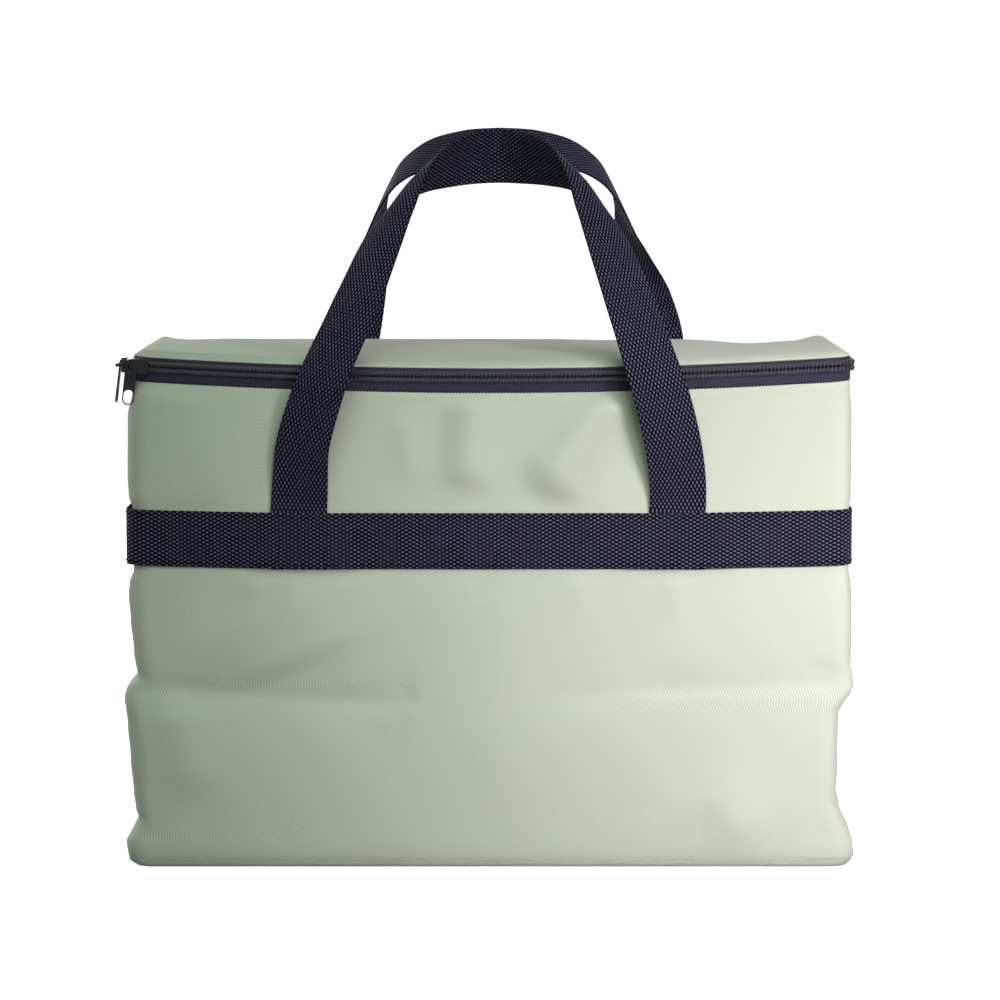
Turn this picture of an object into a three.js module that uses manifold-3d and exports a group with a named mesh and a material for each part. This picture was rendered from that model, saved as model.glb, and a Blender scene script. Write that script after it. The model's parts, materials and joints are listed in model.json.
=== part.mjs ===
// Insulated cooler bag with a zipped lid, a webbing band round its waist and two webbing carry handles.
// Millimetres, +Z up. The origin is the middle of the base on the floor, the front faces -Y.
import * as THREE from "three";
import { mergeVertices } from "three/addons/utils/BufferGeometryUtils.js";
import Module from "manifold-3d";

const wasm = await Module();
wasm.setup();

// Body size
const BODY_WIDTH = 380;
const BODY_DEPTH = 190;
const RIM_HEIGHT = 268;
const RIM_SAG = 6.3;
const CORNER_RADIUS = 10;

// Folds of the soft body: how far each side stands in from the full size at a height
const BASE_TUCK = 2;
const FOLD_HEIGHT = 93;
const SIDE_HOLLOW = 6;
const FRONT_HOLLOW = 3;

// Wall layers
const FABRIC = 1;
const FOAM = 5;
const LINER = 0.6;
const BINDING = 1.2;
const GAP = 0.3;

// Lid
const LID_EDGE_RISE = 8.2;
const LID_EDGE_DROP = 3;
const LID_EDGE_ROUND = 7;
const LID_DOME = 1.5;
const LID_BACK_DROP = 4;
const LID_SIDE_REACH = 20;
const HINGE_STRIP = 0.8;
const HINGE_STRIP_HEIGHT = 18;

// Zipper
const TAPE_HEIGHT = 8;
const LID_TAPE_HEIGHT = 4.5;
const COIL_HEIGHT = 3;
const COIL_DEPTH = 2;

// Webbing band and handles
const WEBBING_WIDTH = 30;
const WEBBING = 1.4;
const BAND_BOTTOM = 160;
const TAIL_SPREAD = 100;
const FRONT_TAIL_SHIFT = -1.5;
const BAND_RAMP = 7;
const TAIL_PROUD = 1.2;

// Handle loops
const HANDLE_TOP = 393;
const FRONT_TOP_DROP = 15.9;
const BACK_TOP_DROP = 10.4;
const FRONT_TOP_SHIFT = 3.5;
const BACK_TOP_SHIFT = 5;
const HANDLE_STEPS = 3;

// Sliders and their pull tabs
const SLIDER_LENGTH = 11;
const SLIDER_HEIGHT = 8;
const SLIDER_PLATE = 2.4;
const SLIDER_CORNER = 2;
const BRIDGE_LENGTH = 8;
const BRIDGE_BAR = 1;
const BRIDGE_CLEAR = 2.2;
const POST = 1.8;
const TAB_LENGTH = 23;
const TAB_WIDTH = 6.3;
const TAB_THICKNESS = 1;
const TAB_HANG = 2.6;
const TAB_EYE = 3.4;
const TAB_HOLE_WIDTH = 5.1;
const TAB_HOLE_HEIGHT = 7.3;
const TAB_RIM = 0.7;
const FRONT_SLIDER_INSET = 4;
const FRONT_TAB_LEAN = 6;
const SIDE_SLIDER_INSET = 7;
const SIDE_TAB_LEAN = 7;

// Worked out from the sizes above
const FOAM_INSET = FABRIC + GAP;
const LINER_INSET = FOAM_INSET + FOAM + GAP;
const BAND_TOP = BAND_BOTTOM + WEBBING_WIDTH;
const TAIL_TOP = BAND_TOP + TAIL_PROUD;
const BAND_OVER_TAIL = GAP + WEBBING + GAP;
const COIL_OUT = GAP + COIL_DEPTH;

const SHELL_GREEN = { color: 0xb9c6b2, roughness: 0.75, metalness: 0 };
const WEBBING_NAVY = { color: 0x262634, roughness: 0.7, metalness: 0 };
const TAPE_NAVY = { color: 0x2c2c3a, roughness: 0.75, metalness: 0 };
const COIL_NAVY = { color: 0x16161f, roughness: 0.35, metalness: 0 };
const METAL_NAVY = { color: 0x14141e, roughness: 0.25, metalness: 0.4 };
const FOAM_WHITE = { color: 0xf2f2ee, roughness: 0.9, metalness: 0 };
const LINER_SILVER = { color: 0xc9ccd0, roughness: 0.3, metalness: 0.6 };
const BINDING_GREY = { color: 0x4a4c55, roughness: 0.8, metalness: 0 };

const bag = new THREE.Group();

function addPiece(name, geometry, finish) {
  const mesh = new THREE.Mesh(geometry, new THREE.MeshStandardMaterial(finish));
  mesh.name = name;
  bag.add(mesh);
  return mesh;
}

// Value at x of the straight runs between the [x, value] pairs of a list
function along(pairs, x) {
  if (x <= pairs[0][0]) return pairs[0][1];
  for (let i = 1; i < pairs.length; i += 1) {
    const [x0, v0] = pairs[i - 1];
    const [x1, v1] = pairs[i];
    if (x <= x1) return v0 + ((v1 - v0) * (x - x0)) / (x1 - x0);
  }
  return pairs[pairs.length - 1][1];
}

// Heights where the soft walls change slope, as shares of the fold and band heights
const FOLD_LEVELS = [0, 0.11, 0.32, 0.84, 1, 1.16].map((share) => share * FOLD_HEIGHT);
const SMOOTH_LEVEL = BAND_BOTTOM - 10;
const LEVEL_CLEAR = 1;
const WALL_LEVELS = [...FOLD_LEVELS, SMOOTH_LEVEL, BAND_TOP + 10];
const SIDE_TUCKS = [BASE_TUCK, 0, SIDE_HOLLOW, SIDE_HOLLOW, 0, BASE_TUCK, 0, 0];
const FRONT_TUCKS = [BASE_TUCK / 2, 0, 0, 0, FRONT_HOLLOW, 1, 0, 0];
const SIDE_TUCK = WALL_LEVELS.map((z, i) => [z, SIDE_TUCKS[i]]);
const FRONT_TUCK = WALL_LEVELS.map((z, i) => [z, FRONT_TUCKS[i]]);

// Height of the middle of the zipper round the mouth: it sags along the front
function rim(x, y) {
  const across = Math.min(1, Math.abs(x) / (BODY_WIDTH / 2));
  const forward = Math.min(1, Math.max(0, 0.5 - y / BODY_DEPTH));
  return RIM_HEIGHT - RIM_SAG * (1 - across * across) * forward;
}

// Columns of the plan outline: each is a place along a side's straight run, or on the arc at its end
const SIDES = ["front", "right", "back", "left"];
const ARC_STEPS = 2;
const STRAIGHT_STEPS = 6;

// Columns of one side, from the middle of one corner to the middle of the next.
// The ends stand trim mm short.
function sideColumns(side, trim = 0, stops = evenStops(STRAIGHT_STEPS)) {
  const end = Math.PI / 4 - trim / CORNER_RADIUS;
  const arc = Array.from({ length: ARC_STEPS }, (_, i) => (end * (i + 1)) / ARC_STEPS);
  return [
    ...arc.map((turn) => ({ side, run: -1, turn: -turn })).reverse(),
    ...stops.map((run) => ({ side, run, turn: 0 })),
    ...arc.map((turn) => ({ side, run: 1, turn })),
  ];
}

function evenStops(count) {
  return Array.from({ length: count + 1 }, (_, i) => (2 * i) / count - 1);
}

// Columns all the way round; the corner's middle belongs to the side that ends there
function ringColumns(stopsOf = () => evenStops(STRAIGHT_STEPS)) {
  return SIDES.flatMap((side) => sideColumns(side, 0, stopsOf(side)).slice(1));
}

// Point of a column at a height, inset mm inside the outline (outside it where inset is negative)
function outlinePoint(col, inset, z) {
  const lengthwise = col.side === "front" || col.side === "back";
  const halfX = BODY_WIDTH / 2 - along(SIDE_TUCK, z);
  const halfY = BODY_DEPTH / 2 - along(FRONT_TUCK, z);
  const halfRun = (lengthwise ? halfX : halfY) - CORNER_RADIUS;
  const halfOut = (lengthwise ? halfY : halfX) - CORNER_RADIUS;
  const radius = CORNER_RADIUS - inset;
  const local = new THREE.Vector3(
    col.run * halfRun + radius * Math.sin(col.turn),
    -halfOut - radius * Math.cos(col.turn),
    0,
  );
  const quarter = SIDES.indexOf(col.side);
  local.applyAxisAngle(new THREE.Vector3(0, 0, 1), (quarter * Math.PI) / 2);
  return local.setZ(z);
}

// Closed solid between two grids of points. Wrap joins each row's ends, and fan closes the last rows.
function gridSolid(outer, inner, { wrap = false, fan = false } = {}) {
  const rows = outer.length;
  const cols = outer[0].length;
  const points = [...outer.flat(), ...inner.flat()];
  const size = rows * cols;
  const faces = [];
  const quad = (a, b, c, d) => faces.push([a, b, c], [a, c, d]);
  const spans = wrap ? cols : cols - 1;
  for (let r = 0; r < rows - 1; r += 1)
    for (let c = 0; c < spans; c += 1) {
      const n = (c + 1) % cols;
      quad(r * cols + c, r * cols + n, (r + 1) * cols + n, (r + 1) * cols + c);
      quad(size + r * cols + c, size + (r + 1) * cols + c, size + (r + 1) * cols + n, size + r * cols + n);
    }
  const edgeRow = (r, up) => {
    for (let c = 0; c < spans; c += 1) {
      const a = r * cols + c;
      const b = r * cols + ((c + 1) % cols);
      if (up) quad(a, b, size + b, size + a);
      else quad(b, a, size + a, size + b);
    }
  };
  edgeRow(0, false);
  if (!fan) edgeRow(rows - 1, true);
  if (fan) {
    closeRow(points, faces, (rows - 1) * cols, cols, false);
    closeRow(points, faces, size + (rows - 1) * cols, cols, true);
  }
  if (!wrap)
    for (let r = 0; r < rows - 1; r += 1) {
      const a = r * cols;
      const b = a + cols;
      quad(a, b, size + b, size + a);
      quad(b + cols - 1, a + cols - 1, size + a + cols - 1, size + b + cols - 1);
    }
  return facingOut(points, faces);
}

// Closes one row of points round its middle
function closeRow(points, faces, start, cols, inward) {
  const ring = points.slice(start, start + cols);
  const middle = ring.reduce((sum, p) => sum.add(p), new THREE.Vector3()).divideScalar(cols);
  const centre = points.push(middle) - 1;
  for (let c = 0; c < cols; c += 1) {
    const p = start + c;
    const q = start + ((c + 1) % cols);
    faces.push(inward ? [q, p, centre] : [p, q, centre]);
  }
}

// Indexed geometry of the faces, turned round where their volume comes out negative
function facingOut(points, faces) {
  const volume = faces.reduce((sum, [a, b, c]) => {
    const cross = new THREE.Vector3().crossVectors(points[b], points[c]);
    return sum + points[a].dot(cross);
  }, 0);
  const order = volume < 0 ? faces.map(([a, b, c]) => [a, c, b]) : faces;
  const geometry = new THREE.BufferGeometry().setFromPoints(points);
  geometry.setIndex(order.flat());
  geometry.computeVertexNormals();
  return geometry;
}

// Wall layer over some columns.
// Its insets and its lowest and highest heights are numbers or change by column.
function wallLayer(columns, insets, from, to, wrap = false) {
  const level = (value, col) => (typeof value === "function" ? value(col) : value);
  const lowest = Math.max(...columns.map((col) => level(from, col)));
  const highest = Math.min(...columns.map((col) => level(to, col)));
  const between = WALL_LEVELS.filter((z) => z > lowest + LEVEL_CLEAR && z < highest - LEVEL_CLEAR);
  const heights = [from, ...between, to];
  const rowOf = (inset, z) => columns.map((col) => outlinePoint(col, level(inset, col), level(z, col)));
  const [outer, inner] = insets.map((inset) => heights.map((z) => rowOf(inset, z)));
  return gridSolid(outer, inner, { wrap });
}

// Height of a column's place on the rim, raised or lowered
function rimAt(offset) {
  return (col) => {
    const at = outlinePoint(col, 0, RIM_HEIGHT);
    return rim(at.x, at.y) + offset;
  };
}

const BACK_WALL_TOP = RIM_HEIGHT - GAP;
const TAPE_BOTTOM = -TAPE_HEIGHT;
const WALL_TOP_OFFSET = -GAP - BINDING - GAP;

function shellTop(side) {
  return side === "back" ? BACK_WALL_TOP : rimAt(TAPE_BOTTOM - GAP);
}

// Outer fabric and foam of the four walls
function addWalls() {
  for (const side of SIDES) {
    const columns = sideColumns(side, GAP / 2);
    const panel = side + (side === "left" || side === "right" ? "_side_panel" : "_panel");
    addPiece(panel, wallLayer(columns, [0, FABRIC], 0, shellTop(side)), SHELL_GREEN);
    const foamInsets = [FOAM_INSET, FOAM_INSET + FOAM];
    const foam = wallLayer(sideColumns(side, GAP), foamInsets, FABRIC + GAP, rimAt(WALL_TOP_OFFSET));
    addPiece("foam_" + side, foam, FOAM_WHITE);
  }
}

// Flat plate that fills the outline between two heights, inset from it
function floorPlate(inset, bottom, thickness) {
  const columns = ringColumns();
  const cols = columns.length;
  const layer = (z) => columns.map((col) => outlinePoint(col, inset, z));
  const points = [...layer(bottom), ...layer(bottom + thickness)];
  const faces = [];
  for (let c = 0; c < cols; c += 1) {
    const n = (c + 1) % cols;
    faces.push([c, n, cols + n], [c, cols + n, cols + c]);
  }
  closeRow(points, faces, 0, cols, true);
  closeRow(points, faces, cols, cols, false);
  return facingOut(points, faces);
}

function addFloor() {
  addPiece("bottom_panel", floorPlate(FOAM_INSET, 0, FABRIC), SHELL_GREEN);
  addPiece("foam_bottom", floorPlate(LINER_INSET, FABRIC + GAP, FOAM), FOAM_WHITE);
}

// Welded liner: a tub with walls and a floor
function addLiner() {
  const columns = ringColumns();
  const floor = FABRIC + GAP + FOAM + GAP;
  const top = rimAt(WALL_TOP_OFFSET);
  const down = WALL_LEVELS.filter((z) => z > floor + LINER + LEVEL_CLEAR).reverse();
  const rings = (inset, bottom) => [
    columns.map((col) => outlinePoint(col, inset, top(col))),
    ...[...down, bottom].map((z) => columns.map((col) => outlinePoint(col, inset, z))),
  ];
  const outer = rings(LINER_INSET, floor);
  const inner = rings(LINER_INSET + LINER, floor + LINER);
  addPiece("liner", gridSolid(outer, inner, { wrap: true, fan: true }), LINER_SILVER);
}

// Binding over the raw edges of foam and liner round the mouth
function addMouthBinding() {
  const insets = [FOAM_INSET, LINER_INSET + LINER + GAP];
  const binding = wallLayer(ringColumns(), insets, rimAt(-GAP - BINDING), rimAt(-GAP), true);
  addPiece("mouth_binding", binding, BINDING_GREY);
}

// Columns that the zipper follows: from the back left corner round the front to the back right corner
function zipperColumns() {
  const left = sideColumns("left", GAP / 2);
  const front = sideColumns("front");
  const right = sideColumns("right", GAP / 2);
  return [...left.slice(0, -1), ...front, ...right.slice(1)];
}

function zipperStrip(insets, from, to) {
  return wallLayer(zipperColumns(), insets, rimAt(from), rimAt(to));
}

function addZipper() {
  const half = GAP / 2;
  addPiece("zipper_tape_body", zipperStrip([0, FABRIC], TAPE_BOTTOM, -half), TAPE_NAVY);
  addPiece("zipper_tape_lid", zipperStrip([0, FABRIC], half, LID_TAPE_HEIGHT), TAPE_NAVY);
  const coil = [-COIL_OUT, -GAP];
  addPiece("zipper_coil_body", zipperStrip(coil, -COIL_HEIGHT, -half), COIL_NAVY);
  addPiece("zipper_coil_lid", zipperStrip(coil, half, COIL_HEIGHT), COIL_NAVY);
}

// Share of the slope down to the back edge at a place on the lid: none along the zipper
function backShare(at) {
  const back = Math.min(1, Math.max(0, at.y / (BODY_DEPTH / 2)));
  const inside = Math.min(1, Math.max(0, (BODY_WIDTH / 2 - Math.abs(at.x)) / LID_SIDE_REACH));
  return back * inside;
}

// Plan ring of the lid at an inset from its edge, each point raised above the rim under it
const LID_REACH = BODY_DEPTH / 2 - 4;
const LID_RINGS = [0.3, 0.66, 1].map((share) => share * LID_REACH);

function lidRing(inset, riseOf) {
  const near = Math.min(inset, CORNER_RADIUS - 1);
  const shrinkX = 1 - (inset - near) / (BODY_WIDTH / 2);
  const shrinkY = 1 - (inset - near) / (BODY_DEPTH / 2);
  return ringColumns().map((col) => {
    const at = outlinePoint(col, near, RIM_HEIGHT);
    at.x *= shrinkX;
    at.y *= shrinkY;
    return at.setZ(rim(at.x, at.y) + riseOf(inset, col, backShare(at)));
  });
}

function dome(inset) {
  return LID_DOME * Math.sin((Math.min(1, inset / LID_REACH) * Math.PI) / 2);
}

// Rise of the lid's top and of its underside above the rim
function lidTop(inset, col, back) {
  const short = Math.max(0, 1 - inset / LID_EDGE_ROUND);
  const rounded = LID_EDGE_DROP * (1 - back / 2) * short * short;
  return LID_EDGE_RISE - LID_BACK_DROP * back - rounded + dome(inset);
}

function lidUnder(inset) {
  return GAP + dome(inset);
}

// The top sheet's lower edge: over the tape on three sides, down at the hinge along the back
function sheetEdge(inset, col) {
  return col.side === "back" && col.turn < Math.PI / 4 - 0.01 ? GAP : LID_TAPE_HEIGHT + GAP;
}

const LID_ROUNDING = [0.29, 0.64, 1].map((share) => share * LID_EDGE_ROUND);

function lidGrid(insets, riseOf) {
  return insets.map((inset) => lidRing(inset, riseOf));
}

function addLid() {
  const closed = { wrap: true, fan: true };
  const under = (...place) => lidTop(...place) - FABRIC;
  const outer = [lidRing(0, sheetEdge), ...lidGrid([0, ...LID_ROUNDING, ...LID_RINGS], lidTop)];
  const innerInsets = [FABRIC, ...LID_ROUNDING.map((inset) => inset + GAP), ...LID_RINGS];
  const inner = [lidRing(FABRIC, sheetEdge), ...lidGrid(innerInsets, under)];
  addPiece("lid_panel", gridSolid(outer, inner, closed), SHELL_GREEN);

  const insets = [FOAM_INSET, ...LID_ROUNDING.map((inset) => inset + 2 * GAP), ...LID_RINGS];
  const foamTop = lidGrid(insets, (...place) => lidTop(...place) - FABRIC - GAP);
  const foamUnder = lidGrid(insets, (inset) => lidUnder(inset) + LINER + GAP);
  addPiece("foam_lid", gridSolid(foamTop, foamUnder, closed), FOAM_WHITE);
  const linerTop = lidGrid(insets, (inset) => lidUnder(inset) + LINER);
  addPiece("liner_lid", gridSolid(linerTop, lidGrid(insets, lidUnder), closed), LINER_SILVER);
}

// Strip of fabric over the lid's hinge line, sewn to the back panel
function addHingeStrip() {
  const columns = sideColumns("back").filter((col) => col.turn === 0);
  const bottom = BACK_WALL_TOP - HINGE_STRIP_HEIGHT;
  const insets = [-GAP - HINGE_STRIP, -GAP];
  addPiece("hinge_strip", wallLayer(columns, insets, bottom, BACK_WALL_TOP), SHELL_GREEN);
}

function tailCentres(side) {
  const shift = side === "front" ? FRONT_TAIL_SHIFT : 0;
  return [-TAIL_SPREAD + shift, TAIL_SPREAD + shift];
}

// Webbing band: it lies on the wall and steps out over the four handle tails
function addWaistBand() {
  const halfRun = BODY_WIDTH / 2 - CORNER_RADIUS;
  const flat = WEBBING_WIDTH / 2 + GAP;
  const stopsOf = (side) => {
    if (side === "left" || side === "right") return [-1, 0, 1];
    const steps = [-flat - BAND_RAMP, -flat, flat, flat + BAND_RAMP];
    const stops = tailCentres(side).flatMap((centre) => steps.map((step) => (centre + step) / halfRun));
    return [-1, ...stops, 1];
  };
  const stepOut = (col) => {
    if (col.turn !== 0 || col.side === "left" || col.side === "right") return -GAP;
    const over = tailCentres(col.side).some((centre) => Math.abs(col.run * halfRun - centre) < flat + GAP);
    return over ? -BAND_OVER_TAIL : -GAP;
  };
  const insets = [(col) => stepOut(col) - WEBBING, stepOut];
  const band = wallLayer(ringColumns(stopsOf), insets, BAND_BOTTOM, BAND_TOP, true);
  addPiece("waist_band", band, WEBBING_NAVY);
}

// The ends of the handle webbing, sewn flat to the wall under the band
function addTails() {
  for (const [side, out] of [["front", -1], ["back", 1]])
    tailCentres(side).forEach((centre, i) => {
      const tail = new THREE.BoxGeometry(WEBBING_WIDTH, WEBBING, TAIL_TOP - BAND_BOTTOM);
      const y = out * (BODY_DEPTH / 2 + GAP + WEBBING / 2);
      tail.translate(centre, y, (TAIL_TOP + BAND_BOTTOM) / 2);
      addPiece(`${side}_handle_tail_${i ? "right" : "left"}`, tail, WEBBING_NAVY);
    });
}

// Halves of the handles' routes, each from a foot to the middle. Each row holds the half span and
// the height as shares, the lean over the lid as a share of half the depth, the stand-off outward
// and the width's direction, with X counted towards the middle.
const FRONT_LEFT_ROUTE = [
  [1.0, 0.0, 0.0, 2, [1, 0, 0]],
  [1.0, 0.02, 0.0, 2, [1, 0, 0]],
  [1.0, 0.085, 0.0, 6, [0.98, -0.18, 0]],
  [0.995, 0.185, 0.0, 12, [0.94, -0.33, 0]],
  [0.945, 0.308, 0.0, 16, [0.91, -0.41, 0]],
  [0.893, 0.4, 0.0, 17, [0.88, -0.46, 0]],
  [0.745, 0.592, 0.1, 16, [0.85, -0.5, 0]],
  [0.622, 0.76, 0.24, 12, [0.72, -0.7, 0]],
  [0.548, 0.848, 0.34, 10, [0.55, -0.8, 0.15]],
  [0.465, 0.92, 0.48, 8, [0.42, -0.75, 0.5]],
  [0.36, 0.963, 0.64, 6, [0.3, -0.6, 0.74]],
  [0.235, 0.985, 0.8, 4, [0.15, -0.42, 0.9]],
  [0.11, 0.997, 0.91, 2, [0.05, -0.25, 0.97]],
  [0.0, 1.0, 0.95, 0, [0, -0.2, 0.98]],
];
const FRONT_RIGHT_ROUTE = [
  [1.0, 0.0, 0.0, 2, [1, 0, 0]],
  [1.0, 0.02, 0.0, 2, [1, 0, 0]],
  [0.99, 0.085, 0.0, 6, [1, -0.05, 0]],
  [0.955, 0.185, 0.0, 12, [0.98, -0.1, 0]],
  [0.89, 0.308, 0.0, 16, [0.97, -0.2, 0]],
  [0.828, 0.4, 0.0, 17, [0.95, -0.28, 0]],
  [0.7, 0.592, 0.1, 16, [0.9, -0.42, 0]],
  [0.592, 0.76, 0.24, 12, [0.76, -0.65, 0]],
  [0.53, 0.848, 0.34, 10, [0.6, -0.78, 0.1]],
  [0.455, 0.928, 0.48, 8, [0.45, -0.75, 0.45]],
  [0.36, 0.97, 0.64, 6, [0.3, -0.6, 0.74]],
  [0.235, 0.99, 0.8, 4, [0.15, -0.42, 0.9]],
  [0.11, 0.998, 0.91, 2, [0.05, -0.25, 0.97]],
  [0.0, 1.0, 0.95, 0, [0, -0.2, 0.98]],
];
const BACK_LEFT_ROUTE = [
  [1.0, 0.0, 0.0, 2, [1, 0, 0]],
  [1.0, 0.02, 0.0, 2, [1, 0, 0]],
  [0.98, 0.09, 0.0, 6, [1, 0, 0]],
  [0.915, 0.22, 0.0, 10, [1, 0, 0]],
  [0.86, 0.34, 0.0, 11, [0.95, 0.2, 0]],
  [0.825, 0.44, 0.0, 10.5, [0.9, 0.3, 0]],
  [0.785, 0.56, 0.04, 9, [0.8, 0.5, 0]],
  [0.75, 0.67, 0.14, 7, [0.5, 0.85, 0]],
  [0.705, 0.775, 0.3, 5, [0.2, 0.96, 0.1]],
  [0.645, 0.86, 0.48, 4, [0.05, 0.97, 0.2]],
  [0.545, 0.93, 0.64, 3, [0, 0.94, 0.33]],
  [0.4, 0.975, 0.76, 2, [0, 0.86, 0.5]],
  [0.2, 0.996, 0.83, 0, [0, 0.78, 0.62]],
  [0.0, 1.0, 0.85, 0, [0, 0.75, 0.66]],
];
const BACK_RIGHT_ROUTE = [
  [1.0, 0.0, 0.0, 2, [1, 0, 0]],
  [1.0, 0.02, 0.0, 2, [1, 0, 0]],
  [0.99, 0.09, 0.0, 6, [1, 0, 0]],
  [0.965, 0.22, 0.0, 10, [1, 0, 0]],
  [0.935, 0.34, 0.0, 11, [1, 0.05, 0]],
  [0.9, 0.44, 0.0, 10.5, [1, 0.12, 0]],
  [0.83, 0.56, 0.04, 9, [0.92, 0.36, 0]],
  [0.765, 0.67, 0.14, 7, [0.6, 0.8, 0]],
  [0.71, 0.775, 0.3, 5, [0.2, 0.96, 0.1]],
  [0.645, 0.86, 0.48, 4, [0.05, 0.97, 0.2]],
  [0.545, 0.93, 0.64, 3, [0, 0.94, 0.33]],
  [0.4, 0.975, 0.76, 2, [0, 0.86, 0.5]],
  [0.2, 0.996, 0.83, 0, [0, 0.78, 0.62]],
  [0.0, 1.0, 0.85, 0, [0, 0.75, 0.66]],
];

// A whole route from its two halves, pushed sideways more the higher it goes
function handleStations([leftRoute, rightRoute], out, top, shifts) {
  const foot = TAIL_TOP + GAP;
  const place = ([span, rise, lean, stand, width], mirror) => {
    const shift = shifts[0] + (shifts[1] - shifts[0]) * Math.min(1, 2 * rise);
    const x = -mirror * span * TAIL_SPREAD + shift;
    const y = out * ((BODY_DEPTH / 2) * (1 - lean) + stand);
    const w = new THREE.Vector3(mirror * width[0], width[1], width[2]);
    return { at: new THREE.Vector3(x, y, foot + rise * (top - foot)), width: w };
  };
  const left = leftRoute.map((row) => place(row, 1));
  const right = rightRoute.slice(0, -1).reverse().map((row) => place(row, -1));
  return [...left, ...right];
}

const FOOT_DIRECTION = new THREE.Vector3(0, 0, 1);

// Webbing ribbon that follows the stations and turns with their width directions; its feet stand upright
function ribbon(stations, steps) {
  const curve = new THREE.CatmullRomCurve3(stations.map((s) => s.at), false, "centripetal");
  const count = (stations.length - 1) * steps;
  const outer = [[], []];
  const inner = [[], []];
  for (let i = 0; i <= count; i += 1) {
    const t = i / count;
    const index = Math.min(stations.length - 2, Math.floor(i / steps));
    const part = i / steps - index;
    const tangent = i % count === 0 ? FOOT_DIRECTION : curve.getTangent(t);
    const width = stations[index].width.clone().lerp(stations[index + 1].width, part);
    width.addScaledVector(tangent, -width.dot(tangent)).setLength(WEBBING_WIDTH / 2);
    const normal = new THREE.Vector3().crossVectors(tangent, width).setLength(WEBBING / 2);
    if (i === count) normal.negate();
    const centre = curve.getPoint(t);
    for (const [edge, sign] of [[0, -1], [1, 1]]) {
      const at = centre.clone().addScaledVector(width, sign);
      outer[edge].push(at.clone().add(normal));
      inner[edge].push(at.sub(normal));
    }
  }
  return gridSolid(outer, inner);
}

function addHandles() {
  const frontHalves = [FRONT_LEFT_ROUTE, FRONT_RIGHT_ROUTE];
  const backHalves = [BACK_LEFT_ROUTE, BACK_RIGHT_ROUTE];
  const frontTop = HANDLE_TOP - FRONT_TOP_DROP;
  const backTop = HANDLE_TOP - BACK_TOP_DROP;
  const front = handleStations(frontHalves, -1, frontTop, [FRONT_TAIL_SHIFT, FRONT_TOP_SHIFT]);
  const back = handleStations(backHalves, 1, backTop, [0, BACK_TOP_SHIFT]);
  addPiece("handle_front", ribbon(front, HANDLE_STEPS), WEBBING_NAVY);
  addPiece("handle_back", ribbon(back, HANDLE_STEPS), WEBBING_NAVY);
}

// Solid of a geometry, for joining
function solidOf(geometry) {
  const bare = geometry.clone();
  bare.deleteAttribute("normal");
  bare.deleteAttribute("uv");
  const merged = mergeVertices(bare, 1e-4);
  const triVerts = new Uint32Array(merged.index.array);
  const vertProperties = merged.attributes.position.array;
  return new wasm.Manifold(new wasm.Mesh({ numProp: 3, vertProperties, triVerts }));
}

function joined(geometries) {
  const solid = geometries.map(solidOf).reduce((sum, part) => sum.add(part));
  const { vertProperties, triVerts } = solid.getMesh();
  const geometry = new THREE.BufferGeometry();
  geometry.setAttribute("position", new THREE.BufferAttribute(vertProperties, 3));
  geometry.setIndex(new THREE.BufferAttribute(triVerts, 1));
  geometry.computeVertexNormals();
  return geometry;
}

// Outline with round ends, its middle at (0, middle), drawn upright
function roundEnded(path, width, height, middle) {
  const radius = width / 2;
  const half = height / 2 - radius;
  path.absarc(0, middle + half, radius, 0, Math.PI, false);
  path.absarc(0, middle - half, radius, Math.PI, 2 * Math.PI, false);
  return path;
}

function extruded(shape, depth, curveSegments) {
  const geometry = new THREE.ExtrudeGeometry(shape, { depth, bevelEnabled: false, curveSegments });
  return geometry.rotateX(Math.PI / 2);
}

function roundedPlate() {
  const x = SLIDER_LENGTH / 2 - SLIDER_CORNER;
  const z = SLIDER_HEIGHT / 2 - SLIDER_CORNER;
  const shape = new THREE.Shape();
  shape.absarc(x, z, SLIDER_CORNER, 0, Math.PI / 2, false);
  shape.absarc(-x, z, SLIDER_CORNER, Math.PI / 2, Math.PI, false);
  shape.absarc(-x, -z, SLIDER_CORNER, Math.PI, 1.5 * Math.PI, false);
  shape.absarc(x, -z, SLIDER_CORNER, 1.5 * Math.PI, 2 * Math.PI, false);
  return extruded(shape, SLIDER_PLATE, 4);
}

const POST_X = BRIDGE_LENGTH / 2 - POST / 2;
const POST_SINK = 0.4;

// Slider with its back face on y = 0: a plate, two posts and the bar of the bridge
function sliderGeometry() {
  const postLength = BRIDGE_CLEAR + 2 * POST_SINK;
  const posts = [-POST_X, POST_X].map((x) => {
    const post = new THREE.CylinderGeometry(POST / 2, POST / 2, postLength, 10);
    return post.translate(x, -SLIDER_PLATE - BRIDGE_CLEAR / 2, 0);
  });
  const bar = new THREE.BoxGeometry(BRIDGE_LENGTH, BRIDGE_BAR, POST);
  bar.translate(0, -SLIDER_PLATE - BRIDGE_CLEAR - BRIDGE_BAR / 2, 0);
  return joined([roundedPlate(), bar, ...posts]);
}

// Pull tab hanging from a post, the post's axis on x = 0, z = 0
function tabGeometry() {
  const shape = roundEnded(new THREE.Shape(), TAB_WIDTH, TAB_LENGTH, TAB_HANG - TAB_LENGTH / 2);
  const eye = new THREE.Path().absarc(0, 0, TAB_EYE / 2, 0, 2 * Math.PI, true);
  const holeMiddle = TAB_HANG - TAB_LENGTH + TAB_RIM + TAB_HOLE_HEIGHT / 2;
  const hole = roundEnded(new THREE.Path(), TAB_HOLE_WIDTH, TAB_HOLE_HEIGHT, holeMiddle);
  shape.holes.push(eye, hole);
  const tab = extruded(shape, TAB_THICKNESS, 8);
  return tab.translate(0, -SLIDER_PLATE - (BRIDGE_CLEAR - TAB_THICKNESS) / 2, 0);
}

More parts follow.
